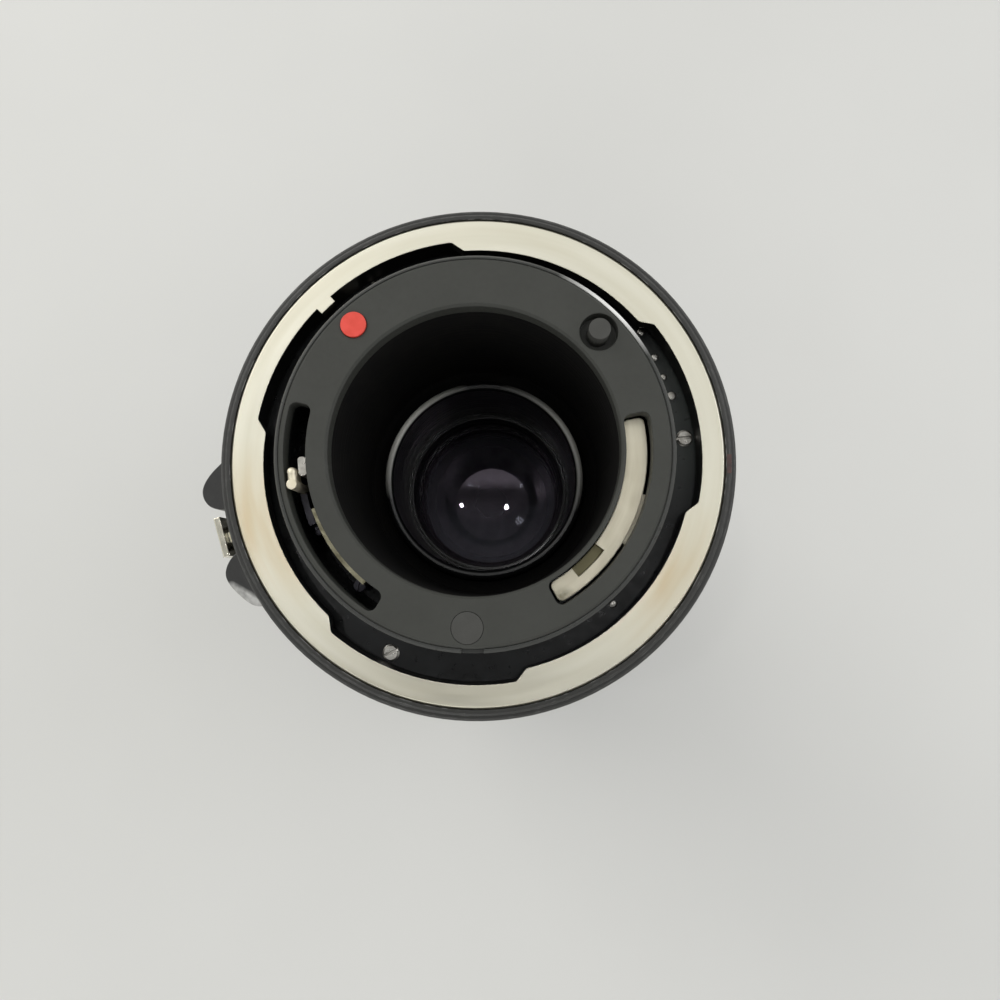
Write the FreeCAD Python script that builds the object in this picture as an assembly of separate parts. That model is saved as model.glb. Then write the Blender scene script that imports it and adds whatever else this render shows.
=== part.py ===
import FreeCAD, Part
import math
import os

# Telephoto zoom lens with a breech-lock bayonet, standing on its front rim.
# Millimetres. The optical axis is Z, the front rim lies on Z = 0, the rear mount is at the top.
# Angles are in degrees about Z, counter-clockwise when the rear mount is looked at.

V = FreeCAD.Vector
ORIGIN = V(0, 0, 0)
Z_AXIS = V(0, 0, 1)

# Clearances
run_gap = 0.1
seat_gap = 0.05
free_gap = 0.3
slide_gap = 0.05
end_gap = 1.0

# Bevels, and how far solids that are joined reach into each other or cutters reach past a face
fine_bevel = 0.3
edge_bevel = 0.5
rim_bevel = 0.8
weld = 0.5
past = 1.0

# Travels of the moving groups
zoom_travel = 32.0
cam_turn = 80.0
focus_travel = 9.0
variator_travel = 20.0
compensator_travel = 7.0
aperture_turn = 60.0
lever_turn = 16.0
release_travel = 1.2
lock_pin_travel = 1.5

# Mount radii, from the rear plate in the camera's throat out to the barrel
plate_r = 23.33
plate_width = 5.93
plate_hole_r = plate_r - plate_width
core_rim = 0.57
core_r = plate_r + core_rim
throat_gap = 2.9
bayonet_lug_r = core_r + throat_gap
lug_reach = 1.3
bayonet_gap_r = bayonet_lug_r + lug_reach
bayonet_width = 2.9
bayonet_r = bayonet_gap_r + bayonet_width
barrel_wall = 1.45
barrel_r = bayonet_r + seat_gap + barrel_wall
neck_margin = 0.7
neck_wall = 1.4
neck_out = bayonet_r - neck_margin
neck_in = neck_out - neck_wall
shield_wall = 0.5
shield_out = plate_hole_r + shield_wall

# Relay tube round the light shield, and the iris rod outside it
relay_space = 3.4
relay_wall = 1.0
relay_in = shield_out + relay_space
relay_out = relay_in + relay_wall
iris_rod_space = 0.5
iris_rod_depth = 1.4
iris_rod_width = 3.0
iris_rod_r0 = relay_out + iris_rod_space
iris_rod_r1 = iris_rod_r0 + iris_rod_depth

# Nested tubes, from the iris rod out to the rubber
rod_to_cam = 1.7
carrier_wall = 1.2
cam_wall = 1.3
guide_wall = 1.2
helicoid_skin = 0.55
focus_wall = 1.1
zoom_sleeve_wall = 0.9
scale_wall = 1.0
grip_wall = 1.6
rubber_base = 1.65
rubber_rib = 0.7
rubber_rib_count = 48
rubber_rib_share = 0.6
rubber_end_band = 1.5

cam_in = iris_rod_r1 + rod_to_cam
carrier_r = cam_in - free_gap
cam_out = cam_in + cam_wall
guide_in = cam_out + run_gap
guide_out = guide_in + guide_wall
helicoid_out = guide_out + seat_gap + helicoid_skin
focus_in = helicoid_out + run_gap
focus_out = focus_in + focus_wall
sleeve_in = focus_out + run_gap
sleeve_out = sleeve_in + zoom_sleeve_wall
scale_in = sleeve_out + free_gap
scale_out = scale_in + scale_wall
grip_in = scale_out + free_gap
grip_out = grip_in + grip_wall
rubber_in = grip_out + seat_gap
rubber_root = rubber_in + rubber_base
rubber_out = rubber_root + rubber_rib

# Front cell: filter ring, lens tube, keys and threaded skirt
focus_front_wall = 1.9
focus_front_in = focus_out - focus_front_wall
front_tube_out = focus_front_in - 2 * run_gap
front_tube_wall = 1.25
front_glass_r = front_tube_out - front_tube_wall - seat_gap
thread_shoulder = 0.35
filter_thread_r = front_tube_out + seat_gap + thread_shoulder
filter_wall = 3.2
filter_ring_r = filter_thread_r + filter_wall
filter_depth = 5.5
filter_ring_length = 11.0
hood_groove_depth = 0.9
hood_groove_width = 2.2
hood_groove_z = 6.6
hood_slot_width = 9.0
hood_slot_angle = 30.0
front_tube_z = filter_depth + run_gap
front_stop_lip = 1.5
front_step_wall = 4.4
skirt_wall = 1.0
skirt_out = cam_out
skirt_in = skirt_out - skirt_wall
skirt_engage = 5.0
key_width = 4.0
key_length = 3.0
key_count = 3
front_key_length = 6.0
front_key_height = 0.8
front_key_angle = 60.0
front_key_drop = 3.0

# Front glass, and the rings that hold it
doublet_z0 = 8.0
doublet_front_bulge = 3.0
doublet_flint = 2.5
doublet_seam_bulge = 6.4
doublet_thickness = 13.0
doublet_rear_bulge = 1.2
doublet_seam_z = doublet_z0 + doublet_flint
doublet_z1 = doublet_z0 + doublet_thickness
singlet_gap = 0.8
singlet_thickness = 5.8
singlet_front_bulge = 5.4
singlet_rear_hollow = 0.9
singlet_z0 = doublet_z1 + singlet_gap
singlet_z1 = singlet_z0 + singlet_thickness
spacer_width = 1.2
retainer_width = 0.6
front_stop_z = singlet_z1 + singlet_rear_hollow + run_gap
front_step_z = front_stop_z + front_step_wall
front_key_z = front_step_z - front_key_length - front_key_drop

# Focus tube and helicoid sleeve
collar_length = 3.5
collar_rise = 2.7
collar_r = focus_out + collar_rise
focus_z0 = filter_ring_length + end_gap
grip_space = 0.5
grip_z0 = focus_z0 + collar_length + grip_space
web_length = 2.0
key_inset = 0.5
zoom_key_z = grip_z0 + key_inset
focus_slot_z0 = zoom_key_z - free_gap
focus_slot_z1 = zoom_key_z + key_length + zoom_travel + free_gap
focus_end_wall = 1.9
focus_z1 = focus_slot_z1 + focus_end_wall
helicoid_z0 = front_step_z + end_gap
skirt_z1 = helicoid_z0 + focus_travel + skirt_engage
helicoid_bore_z1 = skirt_z1 + end_gap
thrust_flange = 2.0
thrust_flange_step = 0.2
helicoid_z1 = focus_z1 + free_gap + thrust_flange

# Grip
grip_length = 70.0
rubber_margin = 6.0
rubber_z0 = grip_z0 + rubber_margin
rubber_length = 50.0
rubber_z1 = rubber_z0 + rubber_length
rubber_lip = 0.9
grip_taper = 6.0
grip_tail_wall = 0.2
web_seat_step = 0.2

# Variator and compensator cells, their rollers and the cam
roller_r = 1.5
roller_slot_r = roller_r + slide_gap
variator_overlap = 2.0
variator_z0 = skirt_z1 - variator_overlap
variator_length = 12.0
variator_glass_r = 17.0
variator_roller_rise = 8.0
variator_roller_z = variator_z0 + variator_roller_rise
group_gap = 1.5
compensator_z0 = variator_z0 + variator_length + variator_travel + compensator_travel + group_gap
compensator_length = 7.5
compensator_glass_r = 14.0
compensator_roller_rise = 5.0
compensator_roller_z = compensator_z0 + compensator_roller_rise
carrier_hub_wall = 1.5
carrier_web = 2.0
carrier_web_lead = 1.5
slot_land = 3.0
drive_roller_z = compensator_roller_z + 2 * roller_slot_r + slot_land
guide_z0 = helicoid_bore_z1 + seat_gap
cam_z0 = guide_z0 + free_gap
cam_tail = 2.0
cam_z1 = drive_roller_z + zoom_travel + roller_slot_r + cam_tail
variator_roller_angle = 20.0
compensator_roller_angle = 80.0
drive_roller_angle = 50.0
roller_count = 3

# Zoom drive ring, held between two lips of the zoom sleeve
zoom_ring_length = 6.0
zoom_ring_z0 = drive_roller_z - zoom_ring_length / 2
zoom_ring_in = guide_out + run_gap
lip_length = 1.7
lip_depth = 0.9
zoom_sleeve_z1 = zoom_ring_z0 + zoom_ring_length + run_gap + lip_length

# Fixed rear frame, scale barrel and aperture ring
zoom_stop_space = 2.2
frame_z0 = zoom_sleeve_z1 + zoom_travel + zoom_stop_space
frame_plate = 3.5
frame_z1 = frame_z0 + frame_plate
scale_z0 = grip_z0 + web_length + zoom_travel + end_gap
tab_space = 0.6
tab_z0 = frame_z1 + tab_space
tab_thickness = 1.4
tab_width = 5.0
tab_angle = 352.0
tab_reach = 5.3
tab_inner_r = neck_in - tab_reach
tab_window_gap = 0.4
aperture_seat_step = 0.2
aperture_ring_wall = 1.7
aperture_bore = scale_out - aperture_seat_step + run_gap
aperture_ring_r = aperture_bore + aperture_ring_wall
aperture_ring_length = 10.5
aperture_ring_ribs = 40
aperture_rib_share = 0.55
aperture_rib_depth = 0.5
aperture_scale_band = 5.0
aperture_ring_z1 = tab_z0 + tab_thickness
aperture_ring_z0 = aperture_ring_z1 - aperture_ring_length
ae_button_angle = 100.0
ae_button_radius = 1.6
ae_button_rise = 0.9
ae_button_travel = 0.6
ae_button_z = aperture_ring_z0 + aperture_scale_band / 2

# Mount barrel, bayonet ring and the core that stays still in the camera
barrel_space = 0.5
barrel_z0 = aperture_ring_z1 + barrel_space
barrel_skirt = 3.5
barrel_shelf_z0 = barrel_z0 + barrel_skirt
barrel_shelf = 3.0
barrel_shelf_z1 = barrel_shelf_z0 + barrel_shelf
barrel_lip = 0.05
barrel_step = 0.7
barrel_step_drop = 0.55
core_flange = 1.8
core_flange_z0 = barrel_shelf_z1 + free_gap
core_flange_z1 = core_flange_z0 + core_flange
bayonet_thickness = 3.5
bayonet_z0 = core_flange_z1 + free_gap
ring_face_z = bayonet_z0 + bayonet_thickness
bayonet_lug_height = 1.9
bayonet_lugs = ((36.8, 96.9), (170.3, 231.0), (280.3, 347.9))
lug_slant = 3.2
lug_corner = 0.8
lock_tab = (132.3, 137.1)
lock_tab_reach = 0.9

# Finger guards and the release button between them
guard_drop = 9.5
guard_z0 = ring_face_z - guard_drop
guard_height = 8.0
guard_one = ((180.8, 0.0), (182.8, 1.8), (184.4, 2.9), (186.5, 3.6), (188.6, 3.3), (190.2, 2.4), (191.4, 0.0))
guard_two = ((201.8, 0.0), (203.2, 2.2), (204.8, 3.0), (207.0, 3.0), (209.8, 2.4), (213.2, 1.4), (215.2, 0.0))
guard_reach = 4.0
guard_chamfer = 2.4
release_angle = 197.1
release_cap_width = 5.2
release_cap_height = 6.0
release_cap_rise = 2.1
release_cap_thickness = 0.8
release_cap_r1 = barrel_r + release_cap_rise
release_cap_r0 = release_cap_r1 - release_cap_thickness
release_pocket_r = release_cap_r0 - release_travel - free_gap
release_stem_r = 1.6
release_stem_overtravel = 0.2
release_drop = 5.5
release_z = ring_face_z - release_drop

# Rear plate, core and what shows in its two slots
plate_rise = 5.5
plate_thickness = 2.2
plate_z1 = ring_face_z + plate_rise
plate_z0 = plate_z1 - plate_thickness
core_rim_drop = 0.25
core_notch_angle = 270.0
core_notch_width = 2.6
core_notch_depth = 0.8
core_rise = 1.2
core_z0 = barrel_shelf_z0 + core_rise
core_flange_gap = 0.4
core_flange_r = bayonet_r - core_flange_gap
core_stem_inset = 1.0
core_stem_r = plate_r - core_stem_inset
slot_corner = 0.9
left_slot = (165.2, 239.0)
left_slot_rim = 0.7
left_slot_width = 2.65
left_slot_r1 = plate_r - left_slot_rim
left_slot_r0 = left_slot_r1 - left_slot_width
right_slot = (298.2, 372.3)
right_slot_rim = 0.55
right_slot_width = 3.15
right_slot_r0 = plate_hole_r + right_slot_rim
right_slot_r1 = right_slot_r0 + right_slot_width
slot_margin = 5.0
inlay_depth = 1.0
dot_inset = 2.37
dot_r = plate_r - dot_inset
dot_angle = 134.1
dot_radius = 1.56
dot_rise = 0.25
post_inset = 2.89
post_r = plate_r - post_inset
post_angle = 43.3
post_recess_radius = 2.3
post_radius = 1.3
post_rise = 1.2
plug_inset = 2.36
plug_r = plate_r - plug_inset
plug_angle = 268.3
plug_radius = 1.85
recess_floor = 0.4
lever_pin_inset = 1.13
lever_pin_r = left_slot_r1 - lever_pin_inset
lever_pin_angle = 192.0
lever_pin_radius = 0.6
lever_rise = 1.5
lever_arm_width = 2.0
stop_pin_arc = (182.6, 189.0)
stop_pin_width = 1.0
stop_pin_corner = 0.4
stop_pin_drop = 0.5
core_pocket_floor = 2.4
lever_ring_wall = 2.2
lever_ring_r = shield_out + lever_ring_wall
lever_ring_length = 1.4
auto_ring_drop = 2.6
auto_ring_z0 = core_z0 - auto_ring_drop
iris_rod_top = auto_ring_z0 + lever_ring_length
signal_arc_r0 = shield_out + free_gap
signal_arc_r1 = right_slot_r1 - free_gap
signal_arc_drop = 0.3
signal_arc_height = 2.5
signal_arc_ends = (1.1, 0.5)
signal_arc_corner = 0.7
signal_step_arc = (309.5, 322.4)
signal_step_width = 1.3
signal_step_depth = 0.9
signal_foot_angle = 344.0
signal_foot_width = 12.0
signal_foot_reach = 2.5
signal_upright_inset = 1.3
spring_arc = (200.2, 231.0)
spring_thickness = 0.6
spring_drop = 1.2
lock_pin_inset = 0.6
lock_pin_r = bayonet_lug_r - lock_pin_inset
lock_pin_angle = 134.4
lock_pin_depth = 0.9
lock_pin_width = 1.6
lock_pin_stub = 0.7

# Iris
blade_count = 6
blade_thickness = 0.12
blade_pitch = 0.2
blade_band = 5.6
blade_sweep = 140.0
blade_closed_turn = 24.5
blade_pivot_inset = 3.4
blade_root = 1.6
blade_root_half = 2.0
blade_ear_drop = 0.6
blade_ear_angle = 18.0
blade_ear_half = 1.0
iris_wall = 0.7
iris_cavity_r = relay_in - iris_wall
blade_pivot_r = iris_cavity_r - blade_pivot_inset
blade_ear_r = blade_pivot_r - blade_ear_drop
iris_bore_r = blade_pivot_r - blade_root - blade_band
iris_ring_width = 5.4
iris_floor = 1.0
iris_ring_thickness = 0.8
iris_pin_radius = 0.5
iris_hole_gap = 0.05
iris_layer_gap = 0.2
iris_z0 = compensator_z0 + compensator_length + group_gap
iris_ring_z0 = iris_z0 + iris_floor + run_gap
blade_z0 = iris_ring_z0 + iris_ring_thickness + iris_layer_gap
iris_cover_z0 = blade_z0 + blade_count * blade_pitch + free_gap
iris_cover_z1 = iris_cover_z0 + iris_floor

# Relay group, and the rear neck and floor that show in the recess
relay_lead = 0.8
relay_z0 = iris_ring_z0 + iris_ring_thickness + relay_lead
relay_front_z0 = iris_cover_z1 + free_gap
relay_front_length = 7.0
relay_front_r = 11.7
relay_front_shoulder = 1.4
recess_width = 2.1
rear_neck_wall = 1.4
rear_neck_step = 0.4
retainer_ring = 0.6
rear_neck_out = plate_hole_r - recess_width
rear_neck_in = rear_neck_out - rear_neck_wall
retainer_r = rear_neck_in - rear_neck_step
relay_rear_r = retainer_r - retainer_ring
relay_rear_ledge = 0.9
relay_rear_length = 7.4
relay_rear_z0 = relay_front_z0 + relay_front_length
retainer_height = 2.8
retainer_z0 = relay_rear_z0 + relay_rear_length
retainer_z1 = retainer_z0 + retainer_height
rear_neck_depth = 20.9
rear_neck_z1 = ring_face_z - rear_neck_depth
rear_floor_drop = 2.7
recess_floor_thickness = 1.4
recess_floor_r = rear_neck_out + free_gap
recess_floor_z1 = rear_neck_z1 - rear_floor_drop
recess_floor_z0 = recess_floor_z1 - recess_floor_thickness
rear_cell_slope = 6.0
rear_cell_slope_z1 = recess_floor_z0 - recess_floor_thickness
shield_z0 = recess_floor_z1 + free_gap

# Inner glass: front vertex, rear vertex, front bulge and rear bulge of each element, from its seat
variator_glass_seat = 2.0
variator_elements = ((0.2, 1.8, -0.6, -2.2), (4.0, 5.0, -1.6, -2.4), (5.05, 8.2, 2.4, 0.2))
compensator_glass_seat = 1.0
compensator_elements = ((0.0, 3.6, 1.3, 1.2), (3.65, 5.0, -1.2, 0.4))
relay_front_elements = ((0.5, 3.3, 1.1, 0.8), (3.7, 6.6, 1.2, -0.6))
rear_flint_z = 1.4
rear_flint_thickness = 1.2
rear_seam_bulge = 1.6
rear_crown_bulge = 1.3

# Small fasteners
screw_radius = 1.0
frame_screw_count = 4
frame_screw_angle = 45.0


def polar(radius, angle, z=0.0):
    a = math.radians(angle)
    return V(radius * math.cos(a), radius * math.sin(a), z)


def turned_about_axis(shape, angle):
    copy = shape.copy()
    copy.rotate(ORIGIN, Z_AXIS, angle)
    return copy


def disc(radius, z0, z1):
    return Part.makeCylinder(radius, z1 - z0, V(0, 0, z0))


def ring(r_in, r_out, z0, z1):
    return disc(r_out, z0, z1).cut(disc(r_in, z0, z1))


def revolved(points):
    outline = [V(r, 0, z) for r, z in points]
    face = Part.Face(Part.makePolygon(outline + [outline[0]]))
    return face.revolve(ORIGIN, Z_AXIS, 360)


def sector(r_in, r_out, z0, z1, a0, a1):
    wedge = Part.makeCylinder(r_out, z1 - z0, V(0, 0, z0), Z_AXIS, a1 - a0)
    return turned_about_axis(wedge.cut(disc(r_in, z0, z1)), a0)


def rounded_sector(r_in, r_out, z0, z1, a0, a1, corner):
    """Sector whose four upright edges are rounded."""
    body = sector(r_in, r_out, z0, z1, a0, a1)
    return body.makeFillet(corner, upright_edges(body))


def upright_edges(body):
    """Straight edges that stand along the axis."""
    edges = [e for e in body.Edges if isinstance(e.Curve, Part.Line)]
    return [e for e in edges if abs(e.Vertexes[0].Z - e.Vertexes[-1].Z) > 0.99 * e.Length]


def prism(points, z0, z1):
    base = Part.Face(Part.makePolygon(points + [points[0]])).extrude(V(0, 0, z1 - z0))
    base.translate(V(0, 0, z0))
    return base


def radial_pin(r0, r1, angle, z, radius):
    return Part.makeCylinder(radius, r1 - r0, polar(r0, angle, z), polar(1, angle))


def radial_block(r0, r1, angle, z0, z1, width):
    block = Part.makeBox(r1 - r0, width, z1 - z0, V(r0, -width / 2, z0))
    return turned_about_axis(block, angle)


def upright_pin(r, angle, z0, z1, radius):
    return Part.makeCylinder(radius, z1 - z0, polar(r, angle, z0))


def spread(shape, count, start=0.0):
    return [turned_about_axis(shape, start + k * 360.0 / count) for k in range(count)]


def fused(first, others):
    return first.fuse(others).removeSplitter()


def arc_angle(length, radius):
    """Angle that a length covers on a circle."""
    return math.degrees(length / radius)


def link(p, q, z0, z1, half_width):
    """Flat bar with round ends between two points of one plane."""
    along = q - p
    bar = Part.makeBox(along.Length, 2 * half_width, z1 - z0, V(0, -half_width, 0))
    bar.rotate(ORIGIN, Z_AXIS, math.degrees(math.atan2(along.y, along.x)))
    bar.translate(V(p.x, p.y, z0))
    ends = [Part.makeCylinder(half_width, z1 - z0, V(e.x, e.y, z0)) for e in (p, q)]
    return bar.fuse(ends)


def lens_element(z_front, z_rear, radius, front_bulge, rear_bulge):
    """Glass element; a bulge is how far a surface's middle stands in front of or behind its edge."""
    front_edge = z_front + front_bulge
    rear_edge = z_rear - rear_bulge
    corner_a = V(radius, 0, front_edge)
    corner_b = V(radius, 0, rear_edge)
    front_arc = bulged_edge(V(0, 0, z_front), corner_a, -front_bulge)
    rear_arc = bulged_edge(corner_b, V(0, 0, z_rear), rear_bulge)
    axis_line = Part.makeLine(V(0, 0, z_rear), V(0, 0, z_front))
    wire = Part.Wire([front_arc, Part.makeLine(corner_a, corner_b), rear_arc, axis_line])
    return Part.Face(wire).revolve(ORIGIN, Z_AXIS, 360)


def glass_group(seat_z, radius, elements):
    shapes = []
    for front, rear, front_bulge, rear_bulge in elements:
        shapes.append(lens_element(seat_z + front, seat_z + rear, radius, front_bulge, rear_bulge))
    return Part.makeCompound(shapes)


def bulged_edge(start, end, bulge):
    """Arc of a circle centred on the axis, through a vertex on the axis and an edge point."""
    vertex, rim = (start, end) if start.x < end.x else (end, start)
    curve_r = (rim.x ** 2 + bulge ** 2) / (2 * abs(bulge))
    side = 1 if bulge > 0 else -1
    centre_z = vertex.z - side * curve_r
    half_x = rim.x / 2
    middle = V(half_x, 0, centre_z + side * math.sqrt(curve_r ** 2 - half_x ** 2))
    return Part.Arc(start, middle, end).toShape()


def helical_slot(r_in, r_out, z_from, z_to, a_from, a_to, half_width):
    """Cutters for a slot of even width with round ends, from one angle and height to another."""
    if z_to < z_from:
        z_from, z_to, a_from, a_to = z_to, z_from, a_to, a_from
    rise = z_to - z_from
    turn = a_to - a_from
    middle_r = (r_in + r_out) / 2
    pitch = rise * 360.0 / abs(turn)
    helix = Part.makeHelix(pitch, rise, middle_r, 0, turn < 0)
    slope = math.atan2(rise, middle_r * math.radians(turn))
    across = V(0, math.sin(slope), -math.cos(slope)) * half_width
    depth = V((r_out - r_in) / 2, 0, 0)
    centre = V(middle_r, 0, 0)
    near, far = centre - depth, centre + depth
    corners = [near - across, far - across, far + across, near + across]
    profile = Part.makePolygon(corners + [corners[0]])
    body = helix.makePipeShell([profile], True, True)
    body = turned_about_axis(body, a_from)
    body.translate(V(0, 0, z_from))
    ends = [radial_pin(r_in, r_out, a, z, half_width) for a, z in ((a_from, z_from), (a_to, z_to))]
    return [body] + ends


def straight_slot(r_in, r_out, z_from, z_to, angle, half_width):
    low, high = sorted((z_from, z_to))
    box = radial_block(r_in, r_out, angle, low, high, 2 * half_width)
    return box.fuse([radial_pin(r_in, r_out, angle, z, half_width) for z in (low, high)])


def ribbed_outline(root, tip, count, share):
    """Closed ring outline with square ribs that fill a share of each pitch."""
    points = []
    step = 360.0 / count
    for k in range(count):
        a = k * step
        half = step * share / 2
        points += [polar(tip, a - half), polar(tip, a + half)]
        points += [polar(root, a + half), polar(root, a + step - half)]
    return Part.Face(Part.makePolygon(points + [points[0]]))


# Front cell, which screws forward for near focus

def filter_ring():
    groove_r = filter_ring_r - hood_groove_depth
    groove_z1 = hood_groove_z + hood_groove_width
    bore = front_tube_out + seat_gap
    body = revolved([
        (filter_thread_r, 0), (filter_ring_r - rim_bevel, 0), (filter_ring_r, rim_bevel),
        (filter_ring_r, hood_groove_z), (groove_r, hood_groove_z), (groove_r, groove_z1),
        (filter_ring_r, groove_z1), (filter_ring_r, filter_ring_length), (bore, filter_ring_length),
        (bore, filter_depth), (filter_thread_r, filter_depth)])
    entry = radial_block(groove_r, filter_ring_r + past, 0, -past, hood_groove_z + run_gap, hood_slot_width)
    return body.cut(spread(entry, key_count, hood_slot_angle))


def front_tube():
    bore = front_glass_r + seat_gap
    stop_r = bore - front_stop_lip
    body = revolved([
        (bore, front_tube_z), (front_tube_out, front_tube_z), (front_tube_out, front_step_z),
        (skirt_out, front_step_z), (skirt_out, skirt_z1), (skirt_in, skirt_z1), (skirt_in, front_step_z),
        (stop_r, front_step_z - front_step_wall / 2), (stop_r, front_stop_z), (bore, front_stop_z)])
    key = radial_block(front_tube_out - weld, front_tube_out + front_key_height, 0, front_key_z,
                       front_key_z + front_key_length, key_width)
    return fused(body, spread(key, key_count, front_key_angle))


def front_retainer():
    z0 = front_tube_z + free_gap
    z1 = doublet_z0 + doublet_front_bulge - run_gap
    inner = front_glass_r - retainer_width
    return revolved([
        (inner, z0), (front_glass_r, z0), (front_glass_r, z1), (inner - retainer_width, z1 - rim_bevel)])


def front_spacer():
    z0 = doublet_z1 - doublet_rear_bulge + 2 * run_gap
    z1 = singlet_z0 + singlet_front_bulge - run_gap
    inner = front_glass_r - spacer_width
    return revolved([(inner, z0), (front_glass_r, z0), (front_glass_r, z1), (inner, z1 - edge_bevel)])


def front_doublet():
    flint = lens_element(doublet_z0, doublet_seam_z, front_glass_r, doublet_front_bulge, -doublet_seam_bulge)
    crown = lens_element(doublet_seam_z + seat_gap, doublet_z1, front_glass_r, doublet_seam_bulge,
                         doublet_rear_bulge)
    return Part.makeCompound([flint, crown])


def front_singlet():
    return lens_element(singlet_z0, singlet_z1, front_glass_r, singlet_front_bulge, -singlet_rear_hollow)


# Focus tube, turned by the grip and carrying the front cell round with it

def focus_tube():
    collar_z1 = focus_z0 + collar_length
    body = revolved([
        (focus_front_in, focus_z0), (collar_r - edge_bevel, focus_z0), (collar_r, focus_z0 + edge_bevel),
        (collar_r, collar_z1), (focus_out, collar_z1), (focus_out, focus_z1), (focus_in, focus_z1),
        (focus_in, front_step_z), (focus_front_in, front_step_z)])
    slot_width = key_width + 2 * run_gap
    zoom_slot = radial_block(focus_front_in - past, focus_out + past, 0, focus_slot_z0, focus_slot_z1,
                             slot_width)
    groove_r = front_tube_out + front_key_height + 2 * run_gap
    key_groove = radial_block(focus_front_in - past, groove_r, 0, focus_z0 - past, front_step_z + past,
                              slot_width)
    return body.cut(spread(zoom_slot, key_count) + spread(key_groove, key_count, front_key_angle))


def helicoid_sleeve():
    bore = skirt_out + run_gap
    spigot = guide_out + seat_gap
    flange_z0 = helicoid_z1 - thrust_flange
    flange_r = focus_out - thrust_flange_step
    return revolved([
        (bore, helicoid_z0), (helicoid_out, helicoid_z0), (helicoid_out, flange_z0), (flange_r, flange_z0),
        (flange_r, helicoid_z1), (spigot, helicoid_z1), (spigot, helicoid_bore_z1), (bore, helicoid_bore_z1)])


# Grip: outer shell, rubber, and the inner sleeve that pulls the zoom ring

def grip_tube():
    z1 = grip_z0 + grip_length
    lip_r = grip_out + rubber_lip
    web_r = sleeve_out + web_seat_step
    return revolved([
        (web_r, grip_z0), (lip_r - rim_bevel, grip_z0), (lip_r, grip_z0 + rim_bevel),
        (lip_r, rubber_z0 - seat_gap), (grip_out, rubber_z0 - seat_gap), (grip_out, rubber_z1 + seat_gap),
        (lip_r, rubber_z1 + seat_gap), (lip_r, z1 - grip_taper), (grip_out - grip_tail_wall, z1),
        (grip_in, z1), (grip_in, grip_z0 + web_length), (web_r, grip_z0 + web_length)])


def rubber_sleeve():
    body = ribbed_outline(rubber_root, rubber_out, rubber_rib_count, rubber_rib_share)
    body = body.extrude(V(0, 0, rubber_length))
    body.translate(V(0, 0, rubber_z0))
    front_band = ring(rubber_root, rubber_out + past, rubber_z0 - past, rubber_z0 + rubber_end_band)
    rear_band = ring(rubber_root, rubber_out + past, rubber_z1 - rubber_end_band, rubber_z1 + past)
    return body.cut([front_band, rear_band, disc(rubber_in, rubber_z0 - past, rubber_z1 + past)])


def zoom_sleeve():
    web_r = sleeve_out + web_seat_step - seat_gap
    lip_in = sleeve_in - lip_depth
    rear_lip_z0 = zoom_ring_z0 + zoom_ring_length + run_gap
    front_lip_z1 = zoom_ring_z0 - run_gap
    sleeve = revolved([
        (sleeve_in, grip_z0), (web_r, grip_z0), (web_r, grip_z0 + web_length),
        (sleeve_out, grip_z0 + web_length), (sleeve_out, zoom_sleeve_z1), (lip_in, zoom_sleeve_z1),
        (lip_in, rear_lip_z0), (sleeve_in, rear_lip_z0), (sleeve_in, front_lip_z1),
        (lip_in, front_lip_z1), (lip_in, front_lip_z1 - lip_length), (sleeve_in, front_lip_z1 - lip_length)])
    key = radial_block(helicoid_out + free_gap, sleeve_in + free_gap, 0, zoom_key_z, zoom_key_z + key_length,
                       key_width)
    return fused(sleeve, spread(key, key_count))


# Zoom drive: a ring that slides with the grip and turns the cam tube through its roller

def zoom_ring():
    body = ring(zoom_ring_in, sleeve_in - run_gap, zoom_ring_z0, zoom_ring_z0 + zoom_ring_length)
    seat = radial_pin(zoom_ring_in - past, sleeve_in + past, drive_roller_angle, drive_roller_z,
                      roller_r + seat_gap)
    return body.cut(seat)


def drive_roller():
    return radial_pin(cam_in + 2 * run_gap, sleeve_in - 2 * run_gap, drive_roller_angle, drive_roller_z,
                      roller_r)


def cam_tube():
    tube = ring(cam_in, cam_out, cam_z0, cam_z1)
    runs = [(drive_roller_angle, drive_roller_z, zoom_travel)]
    for k in range(roller_count):
        step = k * 360.0 / roller_count
        runs.append((variator_roller_angle + step, variator_roller_z, variator_travel))
        runs.append((compensator_roller_angle + step, compensator_roller_z, -compensator_travel))
    for angle, z, travel in runs:
        cutters = helical_slot(cam_in - past, cam_out + past, z, z + travel, angle, angle - cam_turn,
                               roller_slot_r)
        for cutter in cutters:
            tube = tube.cut(cutter)
    return tube


def guide_tube():
    tube = ring(guide_in, guide_out, guide_z0, frame_z0 - seat_gap)
    r0 = guide_in - past
    r1 = guide_out + past
    variator = straight_slot(r0, r1, variator_roller_z, variator_roller_z + variator_travel,
                             variator_roller_angle, roller_slot_r)
    compensator = straight_slot(r0, r1, compensator_roller_z, compensator_roller_z - compensator_travel,
                                compensator_roller_angle, roller_slot_r)
    drive = straight_slot(r0, r1, drive_roller_z, drive_roller_z + zoom_travel, drive_roller_angle,
                          roller_slot_r)
    return tube.cut(spread(variator, roller_count) + spread(compensator, roller_count) + [drive])


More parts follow.
